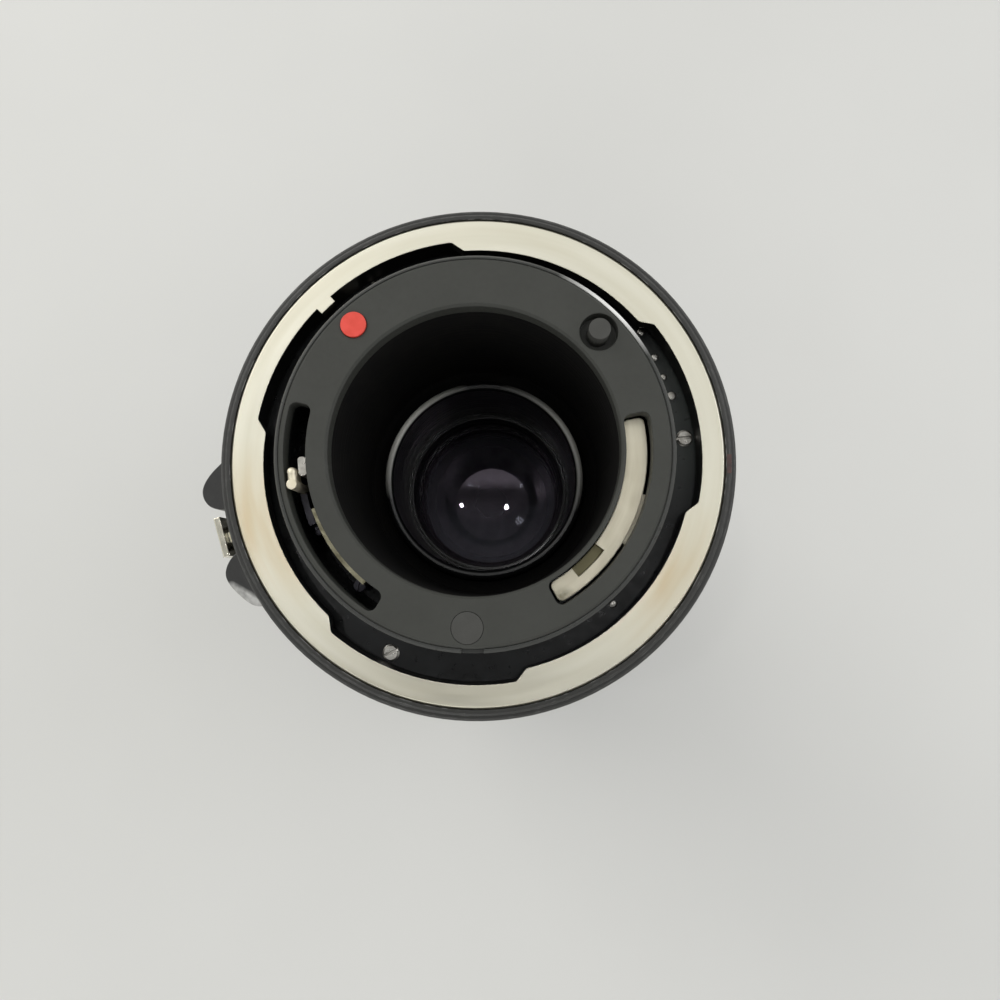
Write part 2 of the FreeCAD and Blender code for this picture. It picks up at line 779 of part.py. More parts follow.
def lens_carrier(z0, length, glass_r, roller_angle, roller_z):
    """Outer ring, web and hub of a sliding lens cell, with holes for its three rollers."""
    inner = carrier_r - carrier_wall
    hub_out = glass_r + seat_gap + carrier_hub_wall
    web_z0 = z0 + (length - carrier_web) / 2 - carrier_web_lead
    outer = ring(inner, carrier_r, z0, z0 + length)
    web = ring(hub_out - weld, inner + weld, web_z0, web_z0 + carrier_web)
    hub = ring(glass_r + seat_gap, hub_out, z0 + edge_bevel, z0 + length - edge_bevel)
    body = fused(outer, [web, hub])
    hole = radial_pin(inner - past, carrier_r + past, roller_angle, roller_z, roller_r + seat_gap)
    return body.cut(spread(hole, roller_count))


def cell_rollers(roller_angle, roller_z):
    roller = radial_pin(carrier_r - carrier_wall, guide_out - run_gap, roller_angle, roller_z, roller_r)
    return Part.makeCompound(spread(roller, roller_count))


def variator_cell():
    return lens_carrier(variator_z0, variator_length, variator_glass_r, variator_roller_angle,
                        variator_roller_z)


def variator_rollers():
    return cell_rollers(variator_roller_angle, variator_roller_z)


def variator_glass():
    return glass_group(variator_z0 + variator_glass_seat, variator_glass_r, variator_elements)


def compensator_cell():
    return lens_carrier(compensator_z0, compensator_length, compensator_glass_r, compensator_roller_angle,
                        compensator_roller_z)


def compensator_rollers():
    return cell_rollers(compensator_roller_angle, compensator_roller_z)


def compensator_glass():
    return glass_group(compensator_z0 + compensator_glass_seat, compensator_glass_r, compensator_elements)


# Fixed barrel

def scale_barrel():
    seat_r = scale_out - aperture_seat_step
    seat_z = aperture_ring_z0 - free_gap
    return revolved([
        (scale_in, scale_z0), (scale_out - fine_bevel, scale_z0), (scale_out, scale_z0 + fine_bevel),
        (scale_out, seat_z), (seat_r, seat_z), (seat_r, frame_z1), (scale_in, frame_z1)])


def rear_frame():
    plate = ring(relay_out + seat_gap, scale_in - seat_gap, frame_z0, frame_z1)
    neck = ring(neck_in, neck_out, frame_z1 - weld, barrel_shelf_z1)
    body = fused(plate, [neck])
    tab_margin = arc_angle(tab_width / 2 + tab_space, neck_in)
    tab_window = sector(neck_in - past, neck_out + past, tab_z0 - tab_window_gap,
                        tab_z0 + tab_thickness + tab_window_gap, tab_angle - tab_margin,
                        tab_angle + aperture_turn + tab_margin)
    rod_margin = arc_angle(iris_rod_width / 2 + tab_space, iris_rod_r0)
    rod_window = sector(relay_out - past, iris_rod_r1 + iris_rod_space, frame_z0 - past, frame_z1 + past,
                        rod_angle() - rod_margin, rod_angle() + lever_turn + rod_margin)
    screw_hole = upright_pin((guide_out + scale_in) / 2, 0, frame_z0 - past, frame_z1 + past,
                             screw_radius + seat_gap)
    return body.cut([tab_window, rod_window] + spread(screw_hole, frame_screw_count, frame_screw_angle))


def frame_screws():
    screw = upright_pin((guide_out + scale_in) / 2, 0, frame_z0, frame_z1, screw_radius)
    return Part.makeCompound(spread(screw, frame_screw_count, frame_screw_angle))


def aperture_ring():
    root = aperture_ring_r - aperture_rib_depth
    smooth = root - run_gap
    body = ribbed_outline(root, aperture_ring_r, aperture_ring_ribs, aperture_rib_share)
    body = body.extrude(V(0, 0, aperture_ring_length))
    body.translate(V(0, 0, aperture_ring_z0))
    scale_band = ring(smooth, aperture_ring_r + past, aperture_ring_z0 - past,
                      aperture_ring_z0 + aperture_scale_band)
    rear_edge = revolved([
        (smooth, aperture_ring_z1 - edge_bevel),
        (aperture_ring_r + past, aperture_ring_z1 - edge_bevel - past),
        (aperture_ring_r + past, aperture_ring_z1 + past), (smooth, aperture_ring_z1 + past)])
    bore = disc(aperture_bore, aperture_ring_z0 - past, aperture_ring_z1 + past)
    body = body.cut([scale_band, rear_edge, bore])
    tab = radial_block(tab_inner_r, aperture_bore + weld, tab_angle, tab_z0, tab_z0 + tab_thickness,
                       tab_width)
    lock_hole = radial_pin(aperture_bore - past, aperture_ring_r + past, ae_button_angle, ae_button_z,
                           ae_button_radius + run_gap)
    return fused(body, [tab]).cut(lock_hole)


def ae_lock_button():
    return radial_pin(aperture_bore + ae_button_travel, aperture_ring_r + ae_button_rise, ae_button_angle,
                      ae_button_z, ae_button_radius)


# Mount barrel with its guards, bayonet ring and release button

def guard(outline):
    """Finger guard: a smooth hump on the barrel, sloped off towards both of its ends."""
    root = barrel_r - weld
    humps = [polar(barrel_r + height, angle) for angle, height in outline]
    hump = Part.BSplineCurve()
    hump.interpolate(humps)
    foot = [humps[-1], polar(root, outline[-1][0]), polar(root, outline[0][0]), humps[0]]
    wire = Part.Wire([hump.toShape()] + [Part.makeLine(p, q) for p, q in zip(foot, foot[1:])])
    guard_z1 = guard_z0 + guard_height
    body = Part.Face(wire).extrude(V(0, 0, guard_height))
    body.translate(V(0, 0, guard_z0))
    tip = barrel_r + guard_reach
    low = revolved([(barrel_r, guard_z0), (tip, guard_z0), (tip, guard_z0 + guard_chamfer)])
    high = revolved([(barrel_r, guard_z1), (tip, guard_z1 - guard_chamfer), (tip, guard_z1)])
    return body.cut([low, high])


def mount_barrel():
    inner = bayonet_r + seat_gap
    shelf_in = neck_out + seat_gap
    skirt_in_r = neck_out + neck_margin
    z1 = ring_face_z - barrel_lip
    step_z = z1 - barrel_step_drop
    step_r = barrel_r - barrel_step
    body = revolved([
        (skirt_in_r, barrel_z0), (barrel_r, barrel_z0), (barrel_r, step_z - fine_bevel),
        (barrel_r - fine_bevel, step_z), (step_r, step_z), (step_r, z1 - fine_bevel),
        (step_r - fine_bevel, z1), (inner, z1), (inner, barrel_shelf_z1), (shelf_in, barrel_shelf_z1),
        (shelf_in, barrel_shelf_z0), (skirt_in_r, barrel_shelf_z0)])
    body = fused(body, [guard(guard_one), guard(guard_two)])
    button_hole = radial_pin(inner - past, barrel_r + past, release_angle, release_z,
                             release_stem_r + run_gap)
    half = release_cap_height / 2 + free_gap
    pocket = radial_block(release_pocket_r, barrel_r + guard_reach, release_angle, release_z - half,
                          release_z + half, release_cap_width + 2 * free_gap)
    return body.cut([button_hole, pocket])


def lug(a0, a1):
    """Bayonet lug whose two ends slope from the ring's bore down to the lug's own bore."""
    z0 = ring_face_z - bayonet_lug_height
    body = sector(bayonet_lug_r, bayonet_gap_r + weld, z0, ring_face_z, a0, a1)
    cuts = []
    for edge, slant in ((a0, lug_slant), (a1, -lug_slant)):
        foot = polar(bayonet_gap_r, edge)
        slope = polar(bayonet_lug_r, edge + slant) - foot
        corner = polar(bayonet_lug_r - past, edge - slant)
        cuts.append(prism([foot, foot + slope * 1.5, corner], z0 - past, ring_face_z + past))
    return body.cut(cuts)


def bayonet_ring():
    body = revolved([
        (bayonet_gap_r, bayonet_z0), (bayonet_r, bayonet_z0), (bayonet_r, ring_face_z - fine_bevel),
        (bayonet_r - fine_bevel, ring_face_z), (bayonet_gap_r, ring_face_z)])
    tab = sector(bayonet_gap_r - lock_tab_reach, bayonet_gap_r + weld, ring_face_z - bayonet_lug_height,
                 ring_face_z, lock_tab[0], lock_tab[1])
    body = fused(body, [lug(a0, a1) for a0, a1 in bayonet_lugs])
    corners = [e for e in upright_edges(body) if e.Length > bayonet_lug_height - weld]
    return fused(body.makeFillet(lug_corner, corners), [tab])


def release_button():
    half = release_cap_height / 2
    cap = radial_block(release_cap_r0, release_cap_r1, release_angle, release_z - half, release_z + half,
                       release_cap_width)
    stem_r0 = bayonet_r + release_travel + release_stem_overtravel
    stem = radial_pin(stem_r0, release_cap_r0 + release_cap_thickness / 2, release_angle, release_z,
                      release_stem_r)
    return fused(cap, [stem])


# Core of the mount: it stays still in the camera while the barrel turns round it

def rear_plate():
    body = revolved([
        (plate_hole_r, plate_z0), (plate_r, plate_z0), (plate_r, plate_z1 - fine_bevel),
        (plate_r - fine_bevel, plate_z1), (plate_hole_r + fine_bevel, plate_z1),
        (plate_hole_r, plate_z1 - fine_bevel)])
    inlay_z0 = plate_z1 - inlay_depth
    top = plate_z1 + past
    cuts = [
        rounded_sector(left_slot_r0, left_slot_r1, plate_z0 - past, top, left_slot[0], left_slot[1],
                       slot_corner),
        rounded_sector(right_slot_r0, right_slot_r1, plate_z0 - past, top, right_slot[0], right_slot[1],
                       slot_corner),
        upright_pin(dot_r, dot_angle, inlay_z0, top, dot_radius + seat_gap),
        upright_pin(post_r, post_angle, plate_z0 + recess_floor, top, post_recess_radius),
        upright_pin(plug_r, plug_angle, inlay_z0, top, plug_radius + seat_gap)]
    return body.cut(cuts)


def alignment_dot():
    return upright_pin(dot_r, dot_angle, plate_z1 - inlay_depth, plate_z1 + dot_rise, dot_radius)


def speed_post():
    return upright_pin(post_r, post_angle, plate_z0 + recess_floor, plate_z1 + post_rise, post_radius)


def blank_plug():
    return upright_pin(plug_r, plug_angle, plate_z1 - inlay_depth, plate_z1, plug_radius)


def light_shield():
    return ring(plate_hole_r, shield_out, shield_z0, plate_z0)


def core_body():
    bore = shield_out + seat_gap
    rim_in = plate_r + seat_gap
    rim_z1 = plate_z1 - core_rim_drop
    body = revolved([
        (bore, core_z0), (core_stem_r, core_z0), (core_stem_r, core_flange_z0),
        (core_flange_r, core_flange_z0), (core_flange_r, core_flange_z1), (core_r, core_flange_z1),
        (core_r, rim_z1 - fine_bevel), (core_r - fine_bevel, rim_z1), (rim_in, rim_z1), (rim_in, plate_z0),
        (bore, plate_z0)])
    floor_z = core_z0 + core_pocket_floor
    pin_half = arc_angle(lever_pin_radius + free_gap, lever_pin_r)
    foot_half = arc_angle(signal_foot_width / 2 + rim_bevel, lever_pin_r)
    pin_path = lever_pin_radius + free_gap
    lock_half = lock_pin_depth / 2 + run_gap
    cuts = [
        sector(left_slot_r0 - free_gap, left_slot_r1, floor_z, plate_z0 + past,
               left_slot[0] - slot_margin, left_slot[1] + slot_margin),
        sector(lever_pin_r - pin_path, lever_pin_r + pin_path, core_z0 - past, floor_z + past,
               lever_pin_angle - pin_half, lever_pin_angle + lever_turn + pin_half),
        sector(bore - weld, right_slot_r1 + 2 * run_gap, plate_z0 - signal_arc_height - group_gap,
               plate_z0 + past, right_slot[0] - 2 * slot_margin,
               right_slot[1] + aperture_turn + 2 * slot_margin),
        sector(signal_arc_r1 - past, core_stem_r + run_gap, core_z0 - past, plate_z0 - weld,
               signal_foot_angle - foot_half, signal_foot_angle + aperture_turn + foot_half),
        radial_block(lock_pin_r - lock_half, lock_pin_r + lock_half, lock_pin_angle, core_flange_z0 - past,
                     core_flange_z1 + past, lock_pin_width + 2 * run_gap),
        radial_block(rim_in - run_gap, core_r + past, core_notch_angle, rim_z1 - core_notch_depth,
                     rim_z1 + past, core_notch_width)]
    return body.cut(cuts)


def stop_pin():
    r0 = left_slot_r0 + seat_gap
    return rounded_sector(r0, r0 + stop_pin_width, core_z0 + core_pocket_floor, plate_z1 - stop_pin_drop,
                          stop_pin_arc[0], stop_pin_arc[1], stop_pin_corner)


def return_spring():
    r0 = left_slot_r0 + seat_gap
    return sector(r0, r0 + spring_thickness, core_z0 + core_pocket_floor, plate_z1 - spring_drop,
                  spring_arc[0], spring_arc[1])


def lever_ring(z0):
    return ring(shield_out + run_gap, lever_ring_r, z0, z0 + lever_ring_length)


def auto_lever():
    z0 = auto_ring_z0
    arm = radial_block(lever_ring_r - weld, iris_rod_r1, lever_pin_angle, z0, z0 + lever_ring_length,
                       lever_arm_width)
    pin = upright_pin(lever_pin_r, lever_pin_angle, z0, plate_z1 + lever_rise, lever_pin_radius)
    return fused(lever_ring(z0), [arm, pin])


def signal_lever():
    arc_z1 = plate_z0 - signal_arc_drop
    half = arc_angle(signal_foot_width / 2, lever_pin_r)
    foot = sector(lever_ring_r - weld, tab_inner_r + signal_foot_reach, tab_z0, tab_z0 + lever_ring_length,
                  signal_foot_angle - half / 2, signal_tab_edge())
    upright = sector(lever_ring_r + free_gap, plate_r - signal_upright_inset, tab_z0, arc_z1 - weld,
                     signal_foot_angle - half, signal_tab_edge())
    arc = rounded_sector(signal_arc_r0, signal_arc_r1, arc_z1 - signal_arc_height, arc_z1,
                         right_slot[0] + signal_arc_ends[0], right_slot[1] - signal_arc_ends[1],
                         signal_arc_corner)
    step = sector(signal_arc_r0 - past, signal_arc_r0 + signal_step_width, arc_z1 - signal_step_depth,
                  arc_z1 + past, signal_step_arc[0], signal_step_arc[1])
    return fused(lever_ring(tab_z0), [foot, upright, arc.cut(step)])


def signal_tab_edge():
    """Angle of the foot's face that lies against the aperture ring's tab."""
    return tab_angle - math.degrees(math.asin((tab_width / 2 + slide_gap) / tab_inner_r))


def lock_pin():
    half = lock_pin_depth / 2
    return radial_block(lock_pin_r - half, lock_pin_r + half, lock_pin_angle, core_flange_z0 + run_gap,
                        core_flange_z1 + lock_pin_travel + lock_pin_stub, lock_pin_width)


# Iris: cam ring, six blades in their own layers, housing and cover

def rod_angle():
    """The rod lies on the far side of the lever's arm, which pushes it as the lever turns."""
    return lever_pin_angle + arc_angle(lever_arm_width / 2 + iris_rod_width / 2 + run_gap, iris_rod_r0)


def blade_angle(k):
    return k * 360.0 / blade_count


def rotated(point, angle):
    a = math.radians(angle)
    return V(point.x * math.cos(a) - point.y * math.sin(a), point.x * math.sin(a) + point.y * math.cos(a), 0)


def ear_point(k, turn):
    """Place of a blade's drive pin when the blade has turned by an angle from full open."""
    pivot = polar(blade_pivot_r, blade_angle(k))
    ear = polar(blade_ear_r, blade_angle(k) - blade_ear_angle)
    return pivot + rotated(ear - pivot, turn)


def iris_ring():
    z0 = iris_ring_z0
    z1 = z0 + iris_ring_thickness
    ring_r = iris_cavity_r - 2 * run_gap
    body = ring(ring_r - iris_ring_width, ring_r, z0, z1)
    steps = 6
    path = []
    for k in range(steps + 1):
        share = k / steps
        path.append(rotated(ear_point(0, blade_closed_turn * (1 - share)), -lever_turn * share))
    half = iris_pin_radius + 2 * iris_hole_gap
    pieces = [link(path[k], path[k + 1], z0 - past, z1 + past, half) for k in range(steps)]
    slot = pieces[0].fuse(pieces[1:])
    body = body.cut(spread(slot, blade_count))
    arm = radial_block(ring_r - weld, iris_rod_r1, rod_angle(), z0, z1, iris_rod_width)
    rod = radial_block(iris_rod_r0, iris_rod_r1, rod_angle(), z0, iris_rod_top, iris_rod_width)
    return fused(body, [arm, rod])


def iris_blade(k):
    z0 = blade_z0 + k * blade_pitch
    z1 = z0 + blade_thickness
    pivot = polar(blade_pivot_r, blade_angle(k))
    start = blade_angle(k)
    band = sector(iris_bore_r, iris_bore_r + blade_band, z0, z1, start, start + blade_sweep)
    root_angle = start + arc_angle(blade_root_half, iris_bore_r + blade_band)
    root = link(pivot, polar(iris_bore_r + blade_band - blade_root_half, root_angle), z0, z1, blade_root_half)
    ear = link(pivot, ear_point(k, 0), z0, z1, blade_ear_half)
    pin = Part.makeCylinder(iris_pin_radius, z1 - iris_ring_z0, ear_point(k, 0) + V(0, 0, iris_ring_z0))
    blade = fused(band, [root, ear, pin])
    hole = Part.makeCylinder(iris_pin_radius + iris_hole_gap, blade_thickness + 2 * past,
                             pivot + V(0, 0, z0 - past))
    blade = blade.cut(hole)
    blade.rotate(pivot, Z_AXIS, blade_closed_turn)
    return blade


def iris_housing():
    outer = iris_cavity_r + iris_wall
    floor_z = iris_z0 + iris_floor
    cup = revolved([
        (iris_bore_r, iris_z0), (outer, iris_z0), (outer, iris_cover_z1), (iris_cavity_r, iris_cover_z1),
        (iris_cavity_r, floor_z), (iris_bore_r, floor_z)])
    margin = arc_angle(iris_rod_width / 2 + iris_rod_space, iris_cavity_r)
    window = sector(iris_cavity_r - past, outer + past, floor_z, iris_ring_z0 + iris_ring_thickness + run_gap,
                    rod_angle() - margin, rod_angle() + lever_turn + margin)
    return cup.cut(window)


def iris_cover():
    plate = ring(iris_bore_r, iris_cavity_r - seat_gap, iris_cover_z0, iris_cover_z1)
    pin = upright_pin(blade_pivot_r, 0, blade_z0 - run_gap, iris_cover_z0 + run_gap, iris_pin_radius)
    return fused(plate, spread(pin, blade_count))


# Relay group

def relay_tube():
    return revolved([
        (relay_in, relay_z0), (relay_out, relay_z0), (relay_out, frame_z1), (relay_in, frame_z1),
        (relay_in, recess_floor_z1), (recess_floor_r, recess_floor_z1),
        (recess_floor_r, recess_floor_z0), (relay_in, recess_floor_z0)])


def relay_front_cell():
    z1 = relay_front_z0 + relay_front_length
    bore = relay_front_r + seat_gap
    outer = relay_in - seat_gap
    return revolved([
        (bore, relay_front_z0), (outer, relay_front_z0), (outer, z1), (bore + relay_front_shoulder, z1),
        (bore, z1 - past)])


def relay_front_glass():
    return glass_group(relay_front_z0, relay_front_r, relay_front_elements)


def relay_rear_cell():
    """Cell of the rear glass, with the long neck whose rounded rim shows in the recess."""
    z0 = relay_rear_z0
    ledge_z = z0 + relay_front_shoulder
    bore = relay_rear_r + seat_gap
    outer = relay_in - seat_gap
    body_z1 = rear_cell_slope_z1 - rear_cell_slope
    neck_z = retainer_z1 - edge_bevel
    seat_r = retainer_r + seat_gap
    rim_r = rear_neck_wall / 2
    rim_z = rear_neck_z1 - rim_r
    body = revolved([
        (bore - relay_rear_ledge, z0), (outer, z0), (outer, body_z1), (rear_neck_out, rear_cell_slope_z1),
        (rear_neck_out, rim_z), (rear_neck_in, rim_z), (rear_neck_in, neck_z), (seat_r, neck_z),
        (seat_r, retainer_z0 - seat_gap), (bore, retainer_z0 - seat_gap), (bore, ledge_z),
        (bore - relay_rear_ledge, ledge_z)])
    rim = Part.makeTorus(rear_neck_in + rim_r, rim_r, V(0, 0, rim_z))
    upper_half = ring(rear_neck_in - past, rear_neck_out + past, rim_z, rim_z + rear_neck_wall)
    return fused(body, [rim.common(upper_half)])


def relay_rear_glass():
    flint_z0 = relay_rear_z0 + relay_front_shoulder + seat_gap + rear_flint_z
    seam_z = flint_z0 + rear_flint_thickness
    edge_z = retainer_z0 - 2 * run_gap
    flint = lens_element(flint_z0, seam_z, relay_rear_r, -rear_flint_z, -rear_seam_bulge)
    crown = lens_element(seam_z + seat_gap, edge_z + rear_crown_bulge, relay_rear_r, rear_seam_bulge,
                         rear_crown_bulge)
    return Part.makeCompound([flint, crown])


def relay_retainer():
    inner = relay_rear_r + run_gap
    lip = relay_rear_r - retainer_ring
    return revolved([
        (lip, retainer_z0), (retainer_r, retainer_z0), (retainer_r, retainer_z1), (inner, retainer_z1),
        (inner, retainer_z1 - fine_bevel), (lip, retainer_z0 + rim_bevel)])


parts = {
    "filter_ring": filter_ring,
    "front_tube": front_tube,
    "front_retainer": front_retainer,
    "front_spacer": front_spacer,
    "front_doublet": front_doublet,
    "front_singlet": front_singlet,
    "focus_tube": focus_tube,
    "helicoid_sleeve": helicoid_sleeve,
    "grip_tube": grip_tube,
    "rubber_sleeve": rubber_sleeve,
    "zoom_sleeve": zoom_sleeve,
    "zoom_ring": zoom_ring,
    "drive_roller": drive_roller,
    "cam_tube": cam_tube,
    "guide_tube": guide_tube,
    "variator_cell": variator_cell,
    "variator_rollers": variator_rollers,
    "variator_glass": variator_glass,
    "compensator_cell": compensator_cell,
    "compensator_rollers": compensator_rollers,
    "compensator_glass": compensator_glass,
    "scale_barrel": scale_barrel,
    "rear_frame": rear_frame,
    "frame_screws": frame_screws,
    "aperture_ring": aperture_ring,
    "ae_lock_button": ae_lock_button,
    "mount_barrel": mount_barrel,
    "bayonet_ring": bayonet_ring,
    "release_button": release_button,
    "rear_plate": rear_plate,
    "alignment_dot": alignment_dot,
    "speed_post": speed_post,
    "blank_plug": blank_plug,
    "light_shield": light_shield,
    "core_body": core_body,
    "stop_pin": stop_pin,
    "return_spring": return_spring,
    "auto_lever": auto_lever,
    "signal_lever": signal_lever,
    "lock_pin": lock_pin,
    "iris_ring": iris_ring,
    "iris_housing": iris_housing,
    "iris_cover": iris_cover,
    "relay_tube": relay_tube,
    "relay_front_cell": relay_front_cell,
    "relay_front_glass": relay_front_glass,
    "relay_rear_cell": relay_rear_cell,
    "relay_rear_glass": relay_rear_glass,
    "relay_retainer": relay_retainer,
}

for name, make in parts.items():
    make().exportStep("parts/" + name + ".step")

for k in range(blade_count):
    iris_blade(k).exportStep("parts/iris_blade_" + str(k + 1) + ".step")
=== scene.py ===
# %% [markdown]
# # A telephoto zoom lens, standing on its front rim
# The photograph looks straight down on the rear mount of the lens. The solids come packed as a fixed
# frame, already in place. This script gives each one its finish, and adds what is too fine for the
# solids: the rubber pads, the filled figures, small screws and threads.

# %% The frame
import math
import bmesh
import bpy
from mathutils import Matrix, Vector


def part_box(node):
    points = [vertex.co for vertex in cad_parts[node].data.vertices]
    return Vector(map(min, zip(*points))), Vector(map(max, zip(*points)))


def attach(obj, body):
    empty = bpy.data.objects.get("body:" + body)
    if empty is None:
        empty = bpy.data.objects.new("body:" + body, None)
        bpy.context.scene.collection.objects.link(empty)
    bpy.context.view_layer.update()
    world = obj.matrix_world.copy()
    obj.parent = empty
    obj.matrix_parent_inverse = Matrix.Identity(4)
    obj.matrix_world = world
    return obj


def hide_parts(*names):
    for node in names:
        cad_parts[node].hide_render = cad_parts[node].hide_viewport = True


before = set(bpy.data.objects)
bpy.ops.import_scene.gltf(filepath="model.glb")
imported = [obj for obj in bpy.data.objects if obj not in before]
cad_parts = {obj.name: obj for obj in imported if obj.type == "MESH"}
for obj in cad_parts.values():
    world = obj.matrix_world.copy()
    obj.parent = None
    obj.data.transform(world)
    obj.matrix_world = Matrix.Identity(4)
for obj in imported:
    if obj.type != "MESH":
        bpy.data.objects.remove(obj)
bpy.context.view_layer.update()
MM = 0.001
AXIS = Vector((0, 0, 1))

# %% [markdown]
# ## Places read from the frame
# Most heights and radii that pieces are set on are read from the boxes of the solids, so a piece
# follows its carrier if the part is changed; the others are typed where they are used. Lengths are in
# millimetres, and angles in degrees, counter-clockwise as seen from the rear mount.

# %% Heights and radii
def low_z(node):
    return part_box(node)[0][2] / MM


def high_z(node):
    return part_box(node)[1][2] / MM


def outer_r(node):
    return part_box(node)[1][0] / MM


ring_face_z = high_z("bayonet_ring")
plate_top_z = high_z("rear_plate")
plate_r = outer_r("rear_plate")
seat_drop = 3.8
seat_flange_z = ring_face_z - seat_drop
barrel_r = outer_r("scale_barrel")
grip_skirt_r = outer_r("grip_tube")
rubber_r = outer_r("rubber_sleeve")
rubber_low, rubber_high = low_z("rubber_sleeve"), high_z("rubber_sleeve")
aperture_low = low_z("aperture_ring")
aperture_r = outer_r("aperture_ring")
index_angle = 72.0
dot_angle = 134.1
print("ring face", round(ring_face_z, 2), "plate top", round(plate_top_z, 2), "grip", round(rubber_r, 2))

# %% [markdown]
# ## Colours and nodes
# Colours are written as a screen shows them, as sRGB hex values, and turned linear once. One small
# function adds any node with its settings, its values and its links, which keeps each finish short.

# %% Helpers for finishes
brushed_r = 29.0


def linear(hex_colour):
    channels = [int(hex_colour[i:i + 2], 16) / 255 for i in (1, 3, 5)]
    return tuple(c / 12.92 if c <= 0.04045 else ((c + 0.055) / 1.055) ** 2.4 for c in channels) + (1.0,)


def add(tree, kind, inputs=None, **settings):
    made = tree.nodes.new("ShaderNode" + kind)
    for name, value in settings.items():
        setattr(made, name, value)
    for name, value in (inputs or {}).items():
        if isinstance(value, bpy.types.NodeSocket):
            tree.links.new(value, made.inputs[name])
        else:
            made.inputs[name].default_value = value
    return made


def start_finish(name, colour, roughness, metallic=0.0, **values):
    finish = bpy.data.materials.new(name)
    finish.use_nodes = True
    shader = finish.node_tree.nodes["Principled BSDF"]
    shader.inputs["Base Color"].default_value = linear(colour)
    shader.inputs["Roughness"].default_value = roughness
    shader.inputs["Metallic"].default_value = metallic
    for socket, value in values.items():
        shader.inputs[socket.replace("_", " ")].default_value = value
    return finish, finish.node_tree, shader


def blotches(tree, size, detail=3.0):
    """Soft noise with blobs of about one size in millimetres, from 0 to 1."""
    place = add(tree, "TexCoord").outputs["Object"]
    noise = add(tree, "TexNoise", {"Vector": place, "Scale": 1 / (size * MM), "Detail": detail})
    return noise.outputs["Fac"]


def round_axis(tree):
    """The place across the axis as a vector, and the distance from the axis."""
    place = add(tree, "TexCoord").outputs["Object"]
    flat = add(tree, "VectorMath", {0: place, 1: (1, 1, 0)}, operation="MULTIPLY").outputs[0]
    return flat, add(tree, "VectorMath", {0: flat}, operation="LENGTH").outputs["Value"]


def height_on(tree):
    return add(tree, "SeparateXYZ", {0: add(tree, "TexCoord").outputs["Object"]}).outputs["Z"]


def turning_marks(tree, pitch):
    """Fine rings round the axis, as a lathe leaves them on faces and on walls."""
    along = add(tree, "Math", {0: round_axis(tree)[1], 1: height_on(tree)}, operation="ADD").outputs[0]
    rings = {"W": along, "Scale": 1 / (pitch * MM), "Detail": 2.0}
    return add(tree, "TexNoise", rings, noise_dimensions="1D").outputs["Fac"]


def streaks(tree, across, along):
    """Brush marks that run round the axis, with a width and a length in millimetres."""
    flat, radius = round_axis(tree)
    heading = add(tree, "VectorMath", {0: flat}, operation="NORMALIZE").outputs[0]
    round_about = {0: heading, "Scale": brushed_r / along}
    round_about = add(tree, "VectorMath", round_about, operation="SCALE").outputs[0]
    outward = add(tree, "Math", {0: radius, 1: 1 / (across * MM)}, operation="MULTIPLY").outputs[0]
    lift = add(tree, "CombineXYZ", {"Z": outward}).outputs[0]
    vector = add(tree, "VectorMath", {0: round_about, 1: lift}, operation="ADD").outputs[0]
    return add(tree, "TexNoise", {"Vector": vector, "Scale": 1.0, "Detail": 2.0}).outputs["Fac"]


def share(tree, value, none, full):
    """0 where a value is at none, 1 where it is at full, and a straight slope between them."""
    return add(tree, "MapRange", {"Value": value, "From Min": none, "From Max": full}).outputs["Result"]


def height_share(tree, none, full):
    """The same for the height on the lens, in millimetres."""
    return share(tree, height_on(tree), none * MM, full * MM)


def the_greater(tree, first, second):
    return add(tree, "Math", {0: first, 1: second}, operation="MAXIMUM").outputs[0]


def worn_edges(tree, radius, start=0.02, stop=0.2):
    """1 on the sharp edges of a solid, 0 on its faces, for a rounding radius in millimetres."""
    soft = add(tree, "Bevel", {"Radius": radius * MM}, samples=8).outputs[0]
    true = add(tree, "NewGeometry").outputs["True Normal"]
    same = add(tree, "VectorMath", {0: soft, 1: true}, operation="DOT_PRODUCT").outputs["Value"]
    return share(tree, same, 1 - start, 1 - stop)


def point_at(radius, angle, height):
    turn = math.radians(angle)
    return Vector((radius * math.cos(turn), radius * math.sin(turn), height)) * MM


def near_point(tree, radius, angle, height, full, none):
    """1 near a point given by radius, angle and height, fading to 0, in millimetres."""
    place = add(tree, "TexCoord").outputs["Object"]
    ends = {0: place, 1: tuple(point_at(radius, angle, height))}
    away = add(tree, "VectorMath", ends, operation="DISTANCE").outputs["Value"]
    return share(tree, away, none * MM, full * MM)


def near_line(tree, first, second, full, none):
    """1 near a line between two points given by radius, angle and height, fading to 0."""
    origin = point_at(*first)
    along = point_at(*second) - origin
    place = add(tree, "TexCoord").outputs["Object"]
    from_start = add(tree, "VectorMath", {0: place, 1: tuple(origin)}, operation="SUBTRACT").outputs[0]
    measure = {0: from_start, 1: tuple(along / along.length_squared)}
    reach = add(tree, "VectorMath", measure, operation="DOT_PRODUCT").outputs["Value"]
    foot = {0: tuple(along), "Scale": share(tree, reach, 0.0, 1.0)}
    foot = add(tree, "VectorMath", foot, operation="SCALE").outputs[0]
    away = add(tree, "VectorMath", {0: from_start, 1: foot}, operation="DISTANCE").outputs["Value"]
    return share(tree, away, none * MM, full * MM)


def product(tree, *factors):
    result = factors[0]
    for factor in factors[1:]:
        result = add(tree, "Math", {0: result, 1: factor}, operation="MULTIPLY").outputs[0]
    return result


